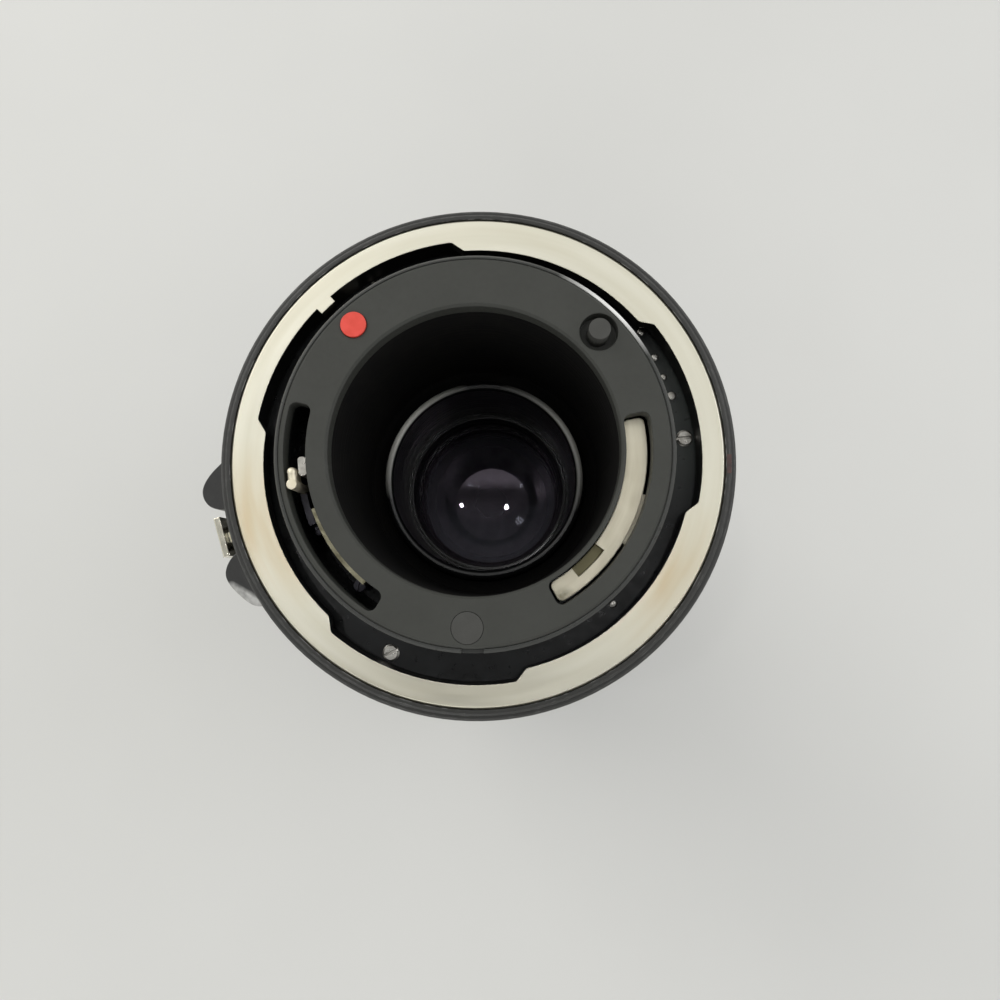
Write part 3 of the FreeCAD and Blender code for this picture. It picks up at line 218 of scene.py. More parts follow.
def mixed(tree, fac, first, second):
    """A colour between two, each a socket or a hex value."""
    blend = add(tree, "Mix", {"Factor": fac}, data_type="RGBA")
    colour_inputs = [socket for socket in blend.inputs if socket.type == "RGBA"]
    for socket, value in zip(colour_inputs, (first, second)):
        if isinstance(value, str):
            socket.default_value = linear(value)
        else:
            tree.links.new(value, socket)
    return [socket for socket in blend.outputs if socket.type == "RGBA"][0]


def ranged(tree, fac, low, high, start=0.3, stop=0.7):
    limits = {"Value": fac, "From Min": start, "From Max": stop, "To Min": low, "To Max": high}
    return add(tree, "MapRange", limits).outputs["Result"]


def two_tone(tree, fac, first, second, start=0.35, stop=0.65):
    ramp = add(tree, "ValToRGB", {"Fac": fac})
    for element, place, colour in zip(ramp.color_ramp.elements, (start, stop), (first, second)):
        element.position = place
        element.color = linear(colour)
    return ramp.outputs["Color"]


def raised(tree, shader, fac, depth, edge=0.0):
    """Bump of a depth in millimetres, over edges that are softened to a radius in millimetres."""
    bump = add(tree, "Bump", {"Height": fac, "Strength": 1.0, "Distance": depth * MM})
    if edge:
        soft = add(tree, "Bevel", {"Radius": edge * MM}, samples=6)
        tree.links.new(soft.outputs[0], bump.inputs["Normal"])
    tree.links.new(bump.outputs[0], shader.inputs["Normal"])


def feed(tree, shader, **sockets):
    for name, value in sockets.items():
        tree.links.new(value, shader.inputs[name.replace("_", " ")])


print("helpers ready")

# %% [markdown]
# ## Plated and bare metals
# The mount ring is brass or steel under satin nickel: warm white, brushed round by the camera it
# turns in, with two soft yellow patches that are painted warm reflections. Its upright walls are
# painted dark, as painted shade. The levers are the same plate with a finer grain, and the arc of
# the signal lever has painted shade at its step and at its lower end. The button is bright chrome,
# pins and screws are bare steel, and the leaf spring has gone dull.

# %% Metal finishes
satin_nickel, tree, shader = start_finish("satin_nickel_plate", "#e7e4d3", 0.36, 1.0)
# Soft yellow patches near two points of the face: painted warm reflections.
left_patch = near_point(tree, 29.0, 199.0, ring_face_z, 2.0, 12.0)
right_patch = near_point(tree, 29.5, 327.0, ring_face_z, 2.0, 11.0)
brushed = ranged(tree, streaks(tree, 2.0, 14.0), 0.1, 0.6)
painted_warm_reflection = product(tree, the_greater(tree, left_patch, right_patch), brushed)
plate_tone = two_tone(tree, streaks(tree, 1.6, 22.0), "#eae7d7", "#e0dcc9", 0.3, 0.7)
plate_tone = mixed(tree, painted_warm_reflection, plate_tone, "#d2b98c")
# Faces that do not look up, the upright walls, are painted near black: painted shade in the mount.
facing = add(tree, "SeparateXYZ", {0: add(tree, "NewGeometry").outputs["True Normal"]}).outputs["Z"]
feed(tree, shader, Base_Color=mixed(tree, share(tree, facing, 0.2, 0.6), "#24221e", plate_tone))
feed(tree, shader, Roughness=ranged(tree, streaks(tree, 1.2, 12.0), 0.33, 0.41))
raised(tree, shader, turning_marks(tree, 0.6), 0.004, 0.16)

lever_nickel, tree, shader = start_finish("lever_nickel_plate", "#e6dfca", 0.46, 1.0)
feed(tree, shader, Base_Color=two_tone(tree, streaks(tree, 0.8, 12.0), "#ebe4d0", "#ddd5be", 0.3, 0.7))
feed(tree, shader, Roughness=ranged(tree, blotches(tree, 1.6), 0.42, 0.54))
raised(tree, shader, turning_marks(tree, 0.4), 0.004, 0.2)

arc_nickel, tree, shader = start_finish("arc_nickel_plate_painted_shade", "#e6dfca", 0.46, 1.0)
arc_top_z = high_z("signal_lever")
# Below its step and at its lower end the arc is painted darker (#7d785f): painted shade.
sunk = height_share(tree, arc_top_z - 0.3, arc_top_z - 0.7)
step_painted_shade = product(tree, sunk, near_point(tree, 19.0, 315.0, arc_top_z - 0.9, 3.0, 5.0))
end_painted_shade = near_point(tree, 20.6, 301.0, arc_top_z, 0.3, 1.8)
end_painted_shade = product(tree, end_painted_shade, ranged(tree, blotches(tree, 0.7), 0.2, 0.9))
arc_painted_shade = the_greater(tree, step_painted_shade, end_painted_shade)
arc_tone = two_tone(tree, streaks(tree, 0.8, 12.0), "#e9e3cf", "#ddd6c0", 0.3, 0.7)
feed(tree, shader, Base_Color=mixed(tree, arc_painted_shade, arc_tone, "#7d785f"))
feed(tree, shader, Roughness=ranged(tree, blotches(tree, 1.6), 0.42, 0.54))
raised(tree, shader, turning_marks(tree, 0.4), 0.004, 0.2)

dull_spring, tree, shader = start_finish("dulled_spring_steel", "#8f8b74", 0.5, 1.0)
feed(tree, shader, Base_Color=two_tone(tree, blotches(tree, 1.5), "#99957f", "#6f6b58"))
feed(tree, shader, Roughness=ranged(tree, blotches(tree, 0.6), 0.42, 0.6))
raised(tree, shader, blotches(tree, 0.3), 0.004)

bright_chrome, tree, shader = start_finish("bright_chrome_plate", "#e8e4d4", 0.14, 1.0)
feed(tree, shader, Roughness=ranged(tree, blotches(tree, 1.5), 0.08, 0.24))
raised(tree, shader, blotches(tree, 0.4), 0.004, 0.2)

bare_steel, tree, shader = start_finish("bare_turned_steel", "#b9b7b2", 0.32, 1.0)
feed(tree, shader, Base_Color=two_tone(tree, blotches(tree, 1.2), "#c3c1bb", "#98958e"))
feed(tree, shader, Roughness=ranged(tree, blotches(tree, 0.5), 0.25, 0.45))
raised(tree, shader, turning_marks(tree, 0.1), 0.005, 0.1)

turned_brass, tree, shader = start_finish("turned_brass", "#b8924a", 0.3, 1.0)
feed(tree, shader, Roughness=ranged(tree, turning_marks(tree, 0.3), 0.22, 0.42))
feed(tree, shader, Base_Color=two_tone(tree, blotches(tree, 4.0), "#c09a52", "#96733a"))
raised(tree, shader, turning_marks(tree, 0.25), 0.01)

blued_spring_steel, tree, shader = start_finish("blackened_spring_steel", "#3b3a3c", 0.34, 1.0)
feed(tree, shader, Roughness=ranged(tree, blotches(tree, 1.0), 0.28, 0.46))
feed(tree, shader, Base_Color=two_tone(tree, blotches(tree, 3.0), "#39383c", "#2b2a2e"))

blade_steel, tree, shader = start_finish("plain_blade_steel", "#8d8c88", 0.45, 1.0)
feed(tree, shader, Roughness=ranged(tree, blotches(tree, 1.0), 0.38, 0.55))
feed(tree, shader, Base_Color=two_tone(tree, blotches(tree, 3.0), "#908f8a", "#7c7b77"))
print("metals", 9)

# %% [markdown]
# ## Black anodised and enamelled aluminium
# Anodising is thin and follows the turned surface, so its gloss shows fine rings. The barrel is
# sprayed with a satin black enamel, whose faint orange peel breaks up the highlight. On the mount
# barrel the rear rim is painted paler, as painted light on its top, and a painted highlight runs
# along the edge of one finger guard; its other edges are worn to bare metal in patches.

# %% Black finishes of the barrel
anodised_black, tree, shader = start_finish("black_anodised_aluminium", "#191919", 0.42)
feed(tree, shader, Base_Color=two_tone(tree, blotches(tree, 6.0), "#1b1b1b", "#141415"))
feed(tree, shader, Roughness=ranged(tree, turning_marks(tree, 0.3), 0.34, 0.5))
raised(tree, shader, turning_marks(tree, 0.22), 0.008, 0.12)

barrel_enamel, tree, shader = start_finish("satin_black_enamel", "#1c1c1c", 0.4)
feed(tree, shader, Base_Color=two_tone(tree, blotches(tree, 8.0), "#1f1f1e", "#181818"))
feed(tree, shader, Roughness=ranged(tree, blotches(tree, 1.5), 0.34, 0.48))
raised(tree, shader, blotches(tree, 0.35, 2.0), 0.012, 0.15)

guard_enamel, tree, shader = start_finish("black_enamel_worn_with_painted_light", "#232322", 0.42)
# A bright line along the edge of one finger guard is a painted highlight; the patchy bare metal on the
# other edges is wear.
painted_glint = near_line(tree, (35.6, 208.6, ring_face_z - 3.2), (33.3, 214.2, ring_face_z - 1.8), 0.8, 1.5)
painted_glint = product(tree, painted_glint, ranged(tree, blotches(tree, 0.8, 3.0), 0.55, 1.0))
patchy = ranged(tree, blotches(tree, 1.4, 4.0), 0.0, 0.5, 0.5, 0.62)
bare_edges_and_painted_glint = the_greater(tree, painted_glint, product(tree, worn_edges(tree, 0.25), patchy))
enamel_tone = two_tone(tree, blotches(tree, 5.0), "#151514", "#101010")
# The top band of the rim is painted paler (#282826): painted light where it faces the lamps.
painted_rim_light = height_share(tree, ring_face_z - 2.0, ring_face_z - 0.8)
enamel_tone = mixed(tree, painted_rim_light, enamel_tone, "#282826")
feed(tree, shader, Base_Color=mixed(tree, bare_edges_and_painted_glint, enamel_tone, "#b9b9b6"))
feed(tree, shader, Roughness=ranged(tree, blotches(tree, 0.9), 0.36, 0.5))
raised(tree, shader, blotches(tree, 0.4, 2.0), 0.01, 0.25)
print("black finishes", 3)

# %% [markdown]
# ## Moulded plastic and flat paint
# The rear plate is a fibre-filled plastic moulding, dark grey and matt with a fine grain. The
# aperture ring is the same kind of plastic, blacker. The recess is sprayed with a flat black paint
# that swallows light.

# %% Plastics and paints
plate_plastic, tree, shader = start_finish("fibre_filled_plastic_grey", "#3a3b37", 0.58,
                                           Specular_IOR_Level=0.35)
feed(tree, shader, Base_Color=two_tone(tree, blotches(tree, 7.0), "#3b3c38", "#383935"))
feed(tree, shader, Roughness=ranged(tree, blotches(tree, 0.6), 0.5, 0.64))
raised(tree, shader, blotches(tree, 0.18, 2.0), 0.008, 0.2)

core_plastic, tree, shader = start_finish("fibre_filled_plastic_black", "#101112", 0.36,
                                          Specular_IOR_Level=0.3)
on_rim = height_share(tree, plate_top_z - 2.5, plate_top_z - 1.0)
dusty = two_tone(tree, blotches(tree, 3.5), "#17191a", "#0c0d0e", 0.35, 0.6)
paler = near_point(tree, 26.5, 12.0, seat_flange_z, 5.0, 13.0)
dusty = mixed(tree, paler, dusty, "#333735")
core_tone = mixed(tree, on_rim, dusty, "#3a3b39")
# A near-white streaked patch on the top of the rim near 46°: painted highlight.
painted_rim_highlight = product(tree, near_point(tree, plate_r + 0.5, 46.5, plate_top_z, 2.0, 7.5), on_rim)
painted_rim_highlight = product(tree, painted_rim_highlight, ranged(tree, streaks(tree, 0.8, 9.0), 0.75, 1.0))
feed(tree, shader, Base_Color=mixed(tree, painted_rim_highlight, core_tone, "#fbfbf8"))
feed(tree, shader, Roughness=ranged(tree, blotches(tree, 1.0), 0.26, 0.42))
raised(tree, shader, blotches(tree, 0.25, 2.0), 0.006, 0.2)

ring_plastic, tree, shader = start_finish("aperture_ring_plastic", "#1d1d1d", 0.45)
feed(tree, shader, Base_Color=two_tone(tree, blotches(tree, 5.0), "#1f1f1f", "#191919"))
feed(tree, shader, Roughness=ranged(tree, blotches(tree, 0.7), 0.38, 0.54))
raised(tree, shader, blotches(tree, 0.2, 2.0), 0.012, 0.2)

plug_plastic, tree, shader = start_finish("moulded_plug_plastic", "#42423f", 0.54,
                                          Specular_IOR_Level=0.35)
feed(tree, shader, Base_Color=two_tone(tree, blotches(tree, 2.0), "#444441", "#40403d"))
feed(tree, shader, Roughness=ranged(tree, blotches(tree, 0.5), 0.44, 0.58))
raised(tree, shader, blotches(tree, 0.18, 2.0), 0.01, 0.15)

flat_black, tree, shader = start_finish("flat_black_baffle_paint", "#0d0c0b", 0.85,
                                        Specular_IOR_Level=0.2)
feed(tree, shader, Base_Color=two_tone(tree, blotches(tree, 3.0), "#0f0e0c", "#0a0909"))
raised(tree, shader, turning_marks(tree, 0.6), 0.05)

red_enamel, tree, shader = start_finish("red_index_enamel", "#e0483c", 0.35)
feed(tree, shader, Base_Color=two_tone(tree, blotches(tree, 1.5), "#e24b3f", "#d5402f"))
feed(tree, shader, Roughness=ranged(tree, blotches(tree, 0.5), 0.3, 0.46))
raised(tree, shader, blotches(tree, 0.5), 0.01, 0.2)

worn_red, tree, shader = start_finish("worn_red_enamel", "#4e302c", 0.5)
feed(tree, shader, Base_Color=two_tone(tree, blotches(tree, 0.8), "#513632", "#382b29"))
feed(tree, shader, Roughness=ranged(tree, blotches(tree, 0.5), 0.44, 0.58))

cell_black, tree, shader = start_finish("glossy_black_cell", "#101011", 0.26)
neck_top_z = high_z("relay_rear_cell")
on_neck = height_share(tree, neck_top_z - 0.22, neck_top_z - 0.06)
# Near-white patches on the top edge of the neck, strongest at the upper left: painted highlight.
left_painted_highlight = near_point(tree, 13.0, 146.0, neck_top_z, 2.0, 11.0)
right_painted_highlight = product(tree, near_point(tree, 13.0, 30.0, neck_top_z, 2.0, 12.0), 0.45)
neck_painted_highlight = product(tree, the_greater(tree, left_painted_highlight, right_painted_highlight), on_neck)
cell_tone = two_tone(tree, blotches(tree, 5.0), "#121213", "#0c0c0d")
feed(tree, shader, Base_Color=mixed(tree, neck_painted_highlight, cell_tone, "#fbfaf0"))
feed(tree, shader, Roughness=ranged(tree, turning_marks(tree, 0.3), 0.2, 0.36))
raised(tree, shader, turning_marks(tree, 0.4), 0.012, 0.1)
print("plastics and paints", 8)

# %% [markdown]
# ## Rubber
# The grip is moulded rubber: nearly black, matt, with a dusty bloom in the grooves where hands do
# not wipe it.

# %% Grip rubber
grip_rubber, tree, shader = start_finish("moulded_grip_rubber", "#171716", 0.68)
wiped = share(tree, round_axis(tree)[1], (rubber_r - 0.7) * MM, (rubber_r - 0.1) * MM)
dust = product(tree, wiped, blotches(tree, 0.8))
feed(tree, shader, Base_Color=two_tone(tree, dust, "#232321", "#171717", 0.1, 0.5))
feed(tree, shader, Roughness=ranged(tree, blotches(tree, 0.9), 0.6, 0.76))
raised(tree, shader, blotches(tree, 0.25, 4.0), 0.02)
print("rubber", 1)

# %% [markdown]
# ## Coated glass
# Each element is clear glass with a thin coating that takes most of the reflection away and leaves
# a faint tinted one. The tint is set on the glass's own reflection, cut to a share of what plain
# glass gives. The last face, towards the camera, is dense glass that shines half as much again as
# plain glass, and mirrors the bright upper half of the room as a lavender dome.

# %% Glass finishes
rear_bulge = 1.3
edge_fade = 0.03
last_edge_z = high_z("relay_rear_glass") - rear_bulge


def coated_glass(name, shine_hex, level, rear_level=None):
    """Glass whose shine is tinted, at a share of plain glass's; its rear face can have its own."""
    finish, tree, shader = start_finish(name, "#fbfafc", 0.01, IOR=1.52, Transmission_Weight=1.0)
    tint = linear(shine_hex)
    shader.inputs["Specular Tint"].default_value = [channel * level for channel in tint[:3]] + [1.0]
    if rear_level:
        behind = height_share(tree, last_edge_z - edge_fade, last_edge_z + edge_fade)
        strength = {0: tint[:3], "Scale": ranged(tree, behind, level, rear_level, 0.0, 1.0)}
        feed(tree, shader, Specular_Tint=add(tree, "VectorMath", strength, operation="SCALE").outputs[0])
    feed(tree, shader, Roughness=ranged(tree, blotches(tree, 4.0, 5.0), 0.0, 0.03, 0.45, 0.7))
    return finish


lavender_glass = coated_glass("coated_glass_lavender", "#ecdcf2", 0.12, 1.5)
indigo_glass = coated_glass("coated_glass_indigo", "#a2a8b2", 0.5)
plum_glass = coated_glass("coated_glass_plum", "#d89ab8", 0.5)
green_glass = coated_glass("coated_glass_green", "#a8d8b4", 0.5)
print("glass", 4)

# %% [markdown]
# ## Filled figures
# The figures on the rings are engraved and filled with enamel: white for most, orange for the index
# line and one scale, green for the ring mark, blue for two depth lines. They are plain numbers and
# one infinity sign.

# %% Filled enamels
def filled_enamel(name, first, second):
    finish, tree, shader = start_finish(name, first, 0.5)
    feed(tree, shader, Base_Color=two_tone(tree, blotches(tree, 0.8), first, second))
    feed(tree, shader, Roughness=ranged(tree, blotches(tree, 0.4), 0.42, 0.6))
    return finish


white_fill = filled_enamel("white_filled_enamel", "#e6e5e0", "#d2d0c9")
orange_fill = filled_enamel("orange_filled_enamel", "#e8862e", "#d37423")
green_fill = filled_enamel("green_filled_enamel", "#54b06a", "#45995a")
blue_fill = filled_enamel("blue_filled_enamel", "#5b93c9", "#4c82b6")
print("filled enamels", 4)

# %% [markdown]
# ## Which solid gets which finish
# The solids that show as they are keep their own mesh, and only their material slots change.

# %% Finishes of the solids
finishes = {
    anodised_black: ["filter_ring", "front_tube", "front_retainer", "front_spacer", "focus_tube",
                     "zoom_sleeve", "cam_tube", "guide_tube", "variator_cell", "compensator_cell",
                     "rear_frame", "iris_housing", "iris_cover", "relay_front_cell"],
    barrel_enamel: ["grip_tube", "scale_barrel"],
    guard_enamel: ["mount_barrel"],
    ring_plastic: ["aperture_ring"],
    plate_plastic: ["rear_plate"],
    # The speed post takes the paler plug plastic: painted light on the post.
    plug_plastic: ["blank_plug", "speed_post"],
    core_plastic: ["core_body"],
    flat_black: ["light_shield", "relay_tube"],
    cell_black: ["relay_rear_cell", "relay_retainer"],
    satin_nickel: ["bayonet_ring"],
    lever_nickel: ["auto_lever", "lock_pin"],
    arc_nickel: ["signal_lever"],
    dull_spring: ["return_spring"],
    bright_chrome: ["release_button", "ae_lock_button"],
    bare_steel: ["frame_screws", "drive_roller", "stop_pin", "iris_ring"],
    turned_brass: ["helicoid_sleeve", "zoom_ring", "variator_rollers", "compensator_rollers"],
    blade_steel: ["iris_blade_%d" % k for k in range(1, 7)],
    red_enamel: ["alignment_dot"],
    lavender_glass: ["relay_rear_glass", "front_doublet"],
    indigo_glass: ["relay_front_glass", "variator_glass"],
    plum_glass: ["compensator_glass"],
    green_glass: ["front_singlet"],
}
for finish, names in finishes.items():
    for name in names:
        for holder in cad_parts[name].material_slots:
            holder.material = finish
print("solids dressed", sum(len(names) for names in finishes.values()))

# %% [markdown]
# ## How a piece is finished off
# A new piece is built at its place in the shared frame, so its object stays at the origin. Doubles
# are merged, the normals are turned outwards, and the piece rides on the body that carries it.

# %% Piece helpers
def made_piece(name, bm, body, finish):
    mesh = bpy.data.meshes.new(name)
    bm.to_mesh(mesh)
    bm.free()
    mesh.materials.append(finish)
    piece = bpy.data.objects.new(name, mesh)
    bpy.context.scene.collection.objects.link(piece)
    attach(piece, body)
    return piece


def placed(name, bm, body, finish, smooth_angle=35.0):
    bmesh.ops.remove_doubles(bm, verts=bm.verts, dist=0.001 * MM)
    bmesh.ops.recalc_face_normals(bm, faces=bm.faces)
    piece = made_piece(name, bm, body, finish)
    piece.data.shade_smooth()
    piece.data.set_sharp_from_angle(angle=math.radians(smooth_angle))
    return piece


def place_at(radius, angle, z):
    """Takes a shape from the origin out to a radius and up to a height, and turns it to an angle."""
    return Matrix.Rotation(math.radians(angle), 4, "Z") @ Matrix.Translation((radius * MM, 0, z * MM))


def spin_outline(bm, outline, start=0.0, turn=360.0, steps=144):
    """Spins a closed outline of (radius, height) points round the axis, from an angle through a turn."""
    whole = turn == 360.0
    points = [bm.verts.new((r * MM, 0, z * MM)) for r, z in outline]
    edges = [bm.edges.new(pair) for pair in zip(points, points[1:] + points[:1])]
    face = [] if whole else [bm.faces.new(points)]
    first_turn = Matrix.Rotation(math.radians(start), 3, "Z")
    bmesh.ops.rotate(bm, verts=points, cent=(0, 0, 0), matrix=first_turn)
    bmesh.ops.spin(bm, geom=points + edges + face, cent=(0, 0, 0), axis=AXIS, angle=math.radians(turn),
                   steps=steps, use_merge=whole)


def soft_block(bm, size, radius, angle, z, edge):
    """A block with rounded edges: depth, width and height in millimetres, out from the axis."""
    made = bmesh.ops.create_cube(bm, size=1.0)["verts"]
    bmesh.ops.scale(bm, vec=[s * MM for s in size], verts=made)
    lines = list({e for v in made for e in v.link_edges})
    result = bmesh.ops.bevel(bm, geom=lines, offset=edge * MM, offset_type="OFFSET", affect="EDGES",
                             segments=2, profile=0.5, material=-1)
    whole = list({v for f in result["faces"] for v in f.verts})
    bmesh.ops.transform(bm, matrix=place_at(radius, angle, z), verts=whole)


def upright_disc(bm, radius, angle, z0, z1, size, edge, sides=24):
    """A small upright cylinder with a rounded top edge, at a radius and an angle."""
    made = bmesh.ops.create_cone(bm, cap_ends=True, segments=sides, radius1=size * MM, radius2=size * MM,
                                 depth=(z1 - z0) * MM)["verts"]
    top = [e for e in {e for v in made for e in v.link_edges} if all(v.co.z > 0 for v in e.verts)]
    result = bmesh.ops.bevel(bm, geom=top, offset=edge * MM, offset_type="OFFSET", affect="EDGES",
                             segments=3, profile=0.5, material=-1)
    whole = {v for v in made if v.is_valid} | {v for f in result["faces"] for v in f.verts}
    bmesh.ops.transform(bm, matrix=place_at(radius, angle, (z0 + z1) / 2), verts=list(whole))


print("piece helpers ready")

# %% [markdown]
# ## The rubber grip
# A sleeve of rubber is stretched over the grip tube. Its outside is moulded in rows of small pads
# with channels between them. One pad is a block with rounded edges. Copies of it go round and
# along the sleeve, and a spun band closes each end.

# %% Grip pads
pad_columns = 48
pad_rows = 12
pad_depth = 1.2
pad_rise = 0.75
pad_edge = 0.28
pad_round_share = 0.68
pad_along_share = 0.74
pad_r = rubber_r - 0.68
band_width = 2.2
band_edge = 0.3
band_slope = 0.25
band_r = rubber_r - 0.05
sleeve_in = 34.56
channel_r = rubber_r - pad_rise
channel_low = rubber_low + band_width - band_edge
channel_high = rubber_high - band_width + band_edge
bm = bmesh.new()
spin_outline(bm, [
    (sleeve_in, rubber_low), (band_r - band_edge, rubber_low), (band_r, rubber_low + band_edge),
    (band_r, channel_low - band_edge), (band_r - band_slope, channel_low), (channel_r, channel_low),
    (channel_r, channel_high), (band_r - band_slope, channel_high), (band_r, channel_high + band_edge),
    (band_r, rubber_high - band_edge), (band_r - band_edge, rubber_high), (sleeve_in, rubber_high)])
pad_pitch = (rubber_high - rubber_low - 2 * band_width) / pad_rows
pad_width = 2 * math.pi * rubber_r / pad_columns * pad_round_share
pad_size = (pad_depth, pad_width, pad_pitch * pad_along_share)
for row in range(pad_rows):
    z = rubber_low + band_width + (row + 0.5) * pad_pitch
    for column in range(pad_columns):
        soft_block(bm, pad_size, pad_r, column * 360.0 / pad_columns, z, pad_edge)
rubber = placed("rubber_grip", bm, "grip", grip_rubber)
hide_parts("rubber_sleeve")
print("pads", pad_rows * pad_columns, "faces", len(rubber.data.polygons))

# %% [markdown]
# ## Figures wrapped round a ring
# A figure is a text object, turned into a mesh and then bent round the axis: across becomes an angle,
# up becomes a height. The lens stands on its front, and its figures read from the camera end, so
# they stand upside down here.

# %% Figures
size_of_figures = 1.45
fill_relief = 0.04


def bent(vert, radius, angle, z, relief=0.0):
    """Bends a flat vertex (across, up) on to a cylinder, about a point at an angle and a height."""
    turn = math.radians(angle) + vert.co.x / (radius * MM)
    reach = (radius + relief) * MM
    vert.co = (reach * math.cos(turn), reach * math.sin(turn), z * MM + vert.co.y)


def figure_mesh(text, height, radius, angle, z):
    """Mesh of a figure lying on a cylinder, its foot towards the rear mount."""
    curve = bpy.data.curves.new("figure", "FONT")
    curve.body = text
    curve.size = height * size_of_figures * MM
    curve.align_x = "CENTER"
    curve.align_y = "CENTER"
    curve.resolution_u = 3
    maker = bpy.data.objects.new("figure", curve)
    mesh = bpy.data.meshes.new_from_object(maker)
    bm = bmesh.new()
    bm.from_mesh(mesh)
    long_edges = [e for e in bm.edges if e.calc_length() > 0.5 * MM]
    bmesh.ops.subdivide_edges(bm, edges=long_edges, cuts=1)
    bmesh.ops.triangulate(bm, faces=bm.faces)
    bmesh.ops.scale(bm, vec=(-1, -1, 1), verts=bm.verts)
    for vert in bm.verts:
        bent(vert, radius, angle, z, fill_relief)
    bm.to_mesh(mesh)
    bm.free()
    bpy.data.objects.remove(maker)
    bpy.data.curves.remove(curve)
    return mesh


def figure_row(name, marks, height, radius, body, finish):
    """One piece with several figures on a cylinder; marks are (text, angle, height) sets."""
    whole = bmesh.new()
    for text, angle, z in marks:
        mesh = figure_mesh(text, height, radius, angle, z)
        whole.from_mesh(mesh)
        bpy.data.meshes.remove(mesh)
    return made_piece(name, whole, body, finish)


stops = ["32", "22", "16", "11", "8", "5.6", "4"]
stop_step = 60.0 / len(stops)
scale_band_r = aperture_r - 0.6
scale_band_z = aperture_low + 2.6
marks = [(text, index_angle - (k + 1) * stop_step, scale_band_z) for k, text in enumerate(stops)]
figure_row("aperture_figures", marks, 2.3, scale_band_r, "aperture_ring", white_fill)
print("aperture figures", len(marks))

# %% [markdown]
# ## Distance scale on the grip
# The grip turns to focus, so the distances stand on its rear skirt, in metres and in feet. The
# angle of a figure is worked out from the distance: the turn needed goes with one over the distance.

# %% Distance figures
focus_turn = 150.0
nearest = 1.2
metres = [1.2, 1.4, 1.7, 2, 2.5, 3, 4, 5, 7, 12]
feet = [4, 5, 6, 7, 8, 10, 15, 20, 40]
scale_height = 1.9
metre_z = rubber_high + 6.2
feet_z = rubber_high + 2.7
metre_marks = [("%g" % d, index_angle - focus_turn * nearest / d, metre_z) for d in metres]
metre_marks.append(("∞", index_angle, metre_z))
feet_marks = [("%g" % d, index_angle - focus_turn * nearest / (d * 0.3048), feet_z) for d in feet]
figure_row("metre_figures", metre_marks, scale_height, grip_skirt_r, "grip", white_fill)
figure_row("feet_figures", feet_marks, scale_height, grip_skirt_r, "grip", orange_fill)
print("distance figures", len(metre_marks) + len(feet_marks))

# %% [markdown]
# ## Zoom scale and depth lines on the barrel
# The rear edge of the grip points at the focal length. The figures are spaced by the logarithm of
# the focal length over the slide of the grip. Curved lines beside them show the depth of field,
# which narrows as the focal length grows.

# %% Focal lengths and depth lines
grip_edge_z = high_z("grip_tube")
zoom_slide = 32.0
beside_index = 13.0
marks = []
for focal in (70, 85, 100, 135, 180, 210):
    z = grip_edge_z + 1.9 + zoom_slide * math.log(focal / 70) / math.log(3)
    marks.append((str(focal), index_angle + beside_index, z))
figure_row("focal_figures", marks, scale_height, barrel_r, "barrel", white_fill)


def depth_line(name, spread_wide, spread_tele, finish):
    """A pair of lines that close in towards the long end of the zoom, bent from two flat strips."""
    bm = bmesh.new()
    length = zoom_slide + 1.0
    for side in (-1, 1):
        strip = bmesh.ops.create_grid(bm, x_segments=1, y_segments=24, size=0.5)["verts"]
        for vert in strip:
            part = vert.co.y + 0.5
            spread = side * (spread_wide * (1 - part) ** 2 + spread_tele)
            vert.co = (vert.co.x * 0.3 * MM, part * length * MM, 0)
            bent(vert, barrel_r + 0.03, index_angle + spread, grip_edge_z + 0.6)
    placed(name, bm, "barrel", finish)


depth_line("depth_line_blue", 5.4, 2.4, blue_fill)
depth_line("depth_line_white", 3.0, 1.2, white_fill)
line_z0, line_z1 = grip_edge_z + 0.6, aperture_low - 1.0
half_line = math.degrees(0.2 / barrel_r)
bm = bmesh.new()
spin_outline(bm, [(barrel_r - 0.02, line_z0), (barrel_r + fill_relief, line_z0),
                  (barrel_r + fill_relief, line_z1), (barrel_r - 0.02, line_z1)],
             index_angle - half_line, 2 * half_line, 2)
placed("index_line", bm, "barrel", orange_fill)
print("focal lengths", len(marks))

# %% [markdown]
# ## Index marks of the mount
# A raised red dot on the barrel is lined up with the camera's own mark before the lens is turned
# home. A green ring on the aperture ring marks its automatic place.

# %% Index dot and ring mark
mount_r = 32.5
dot_z = 149.0
dot_size = 1.5
mark_size = 1.1
mark_line = 0.35
bm = bmesh.new()
made = bmesh.ops.create_uvsphere(bm, u_segments=32, v_segments=16, radius=dot_size * MM)["verts"]
bmesh.ops.scale(bm, vec=(0.35, 1, 1), verts=made)
bmesh.ops.transform(bm, matrix=place_at(mount_r, dot_angle, dot_z), verts=made)
placed("barrel_index_dot", bm, "barrel", red_enamel)

bm = bmesh.new()
bmesh.ops.create_circle(bm, cap_ends=True, segments=40, radius=mark_size * MM)
bmesh.ops.inset_region(bm, faces=bm.faces[:], thickness=mark_line * MM, use_boundary=True,
                       use_even_offset=True)
middle = [face for face in bm.faces if len(face.verts) > 4]
bmesh.ops.delete(bm, geom=middle, context="FACES_ONLY")
for vert in bm.verts:
    bent(vert, scale_band_r + 0.04, index_angle, scale_band_z)
placed("auto_mark", bm, "aperture_ring", green_fill)
print("index marks", 2)

# %% [markdown]
# ## Small things on the seat flange
# Round the foot of the core lies a dark seat flange. It carries a few small screws and rivet heads,
# which catch the light between the core and the ring in the photograph.

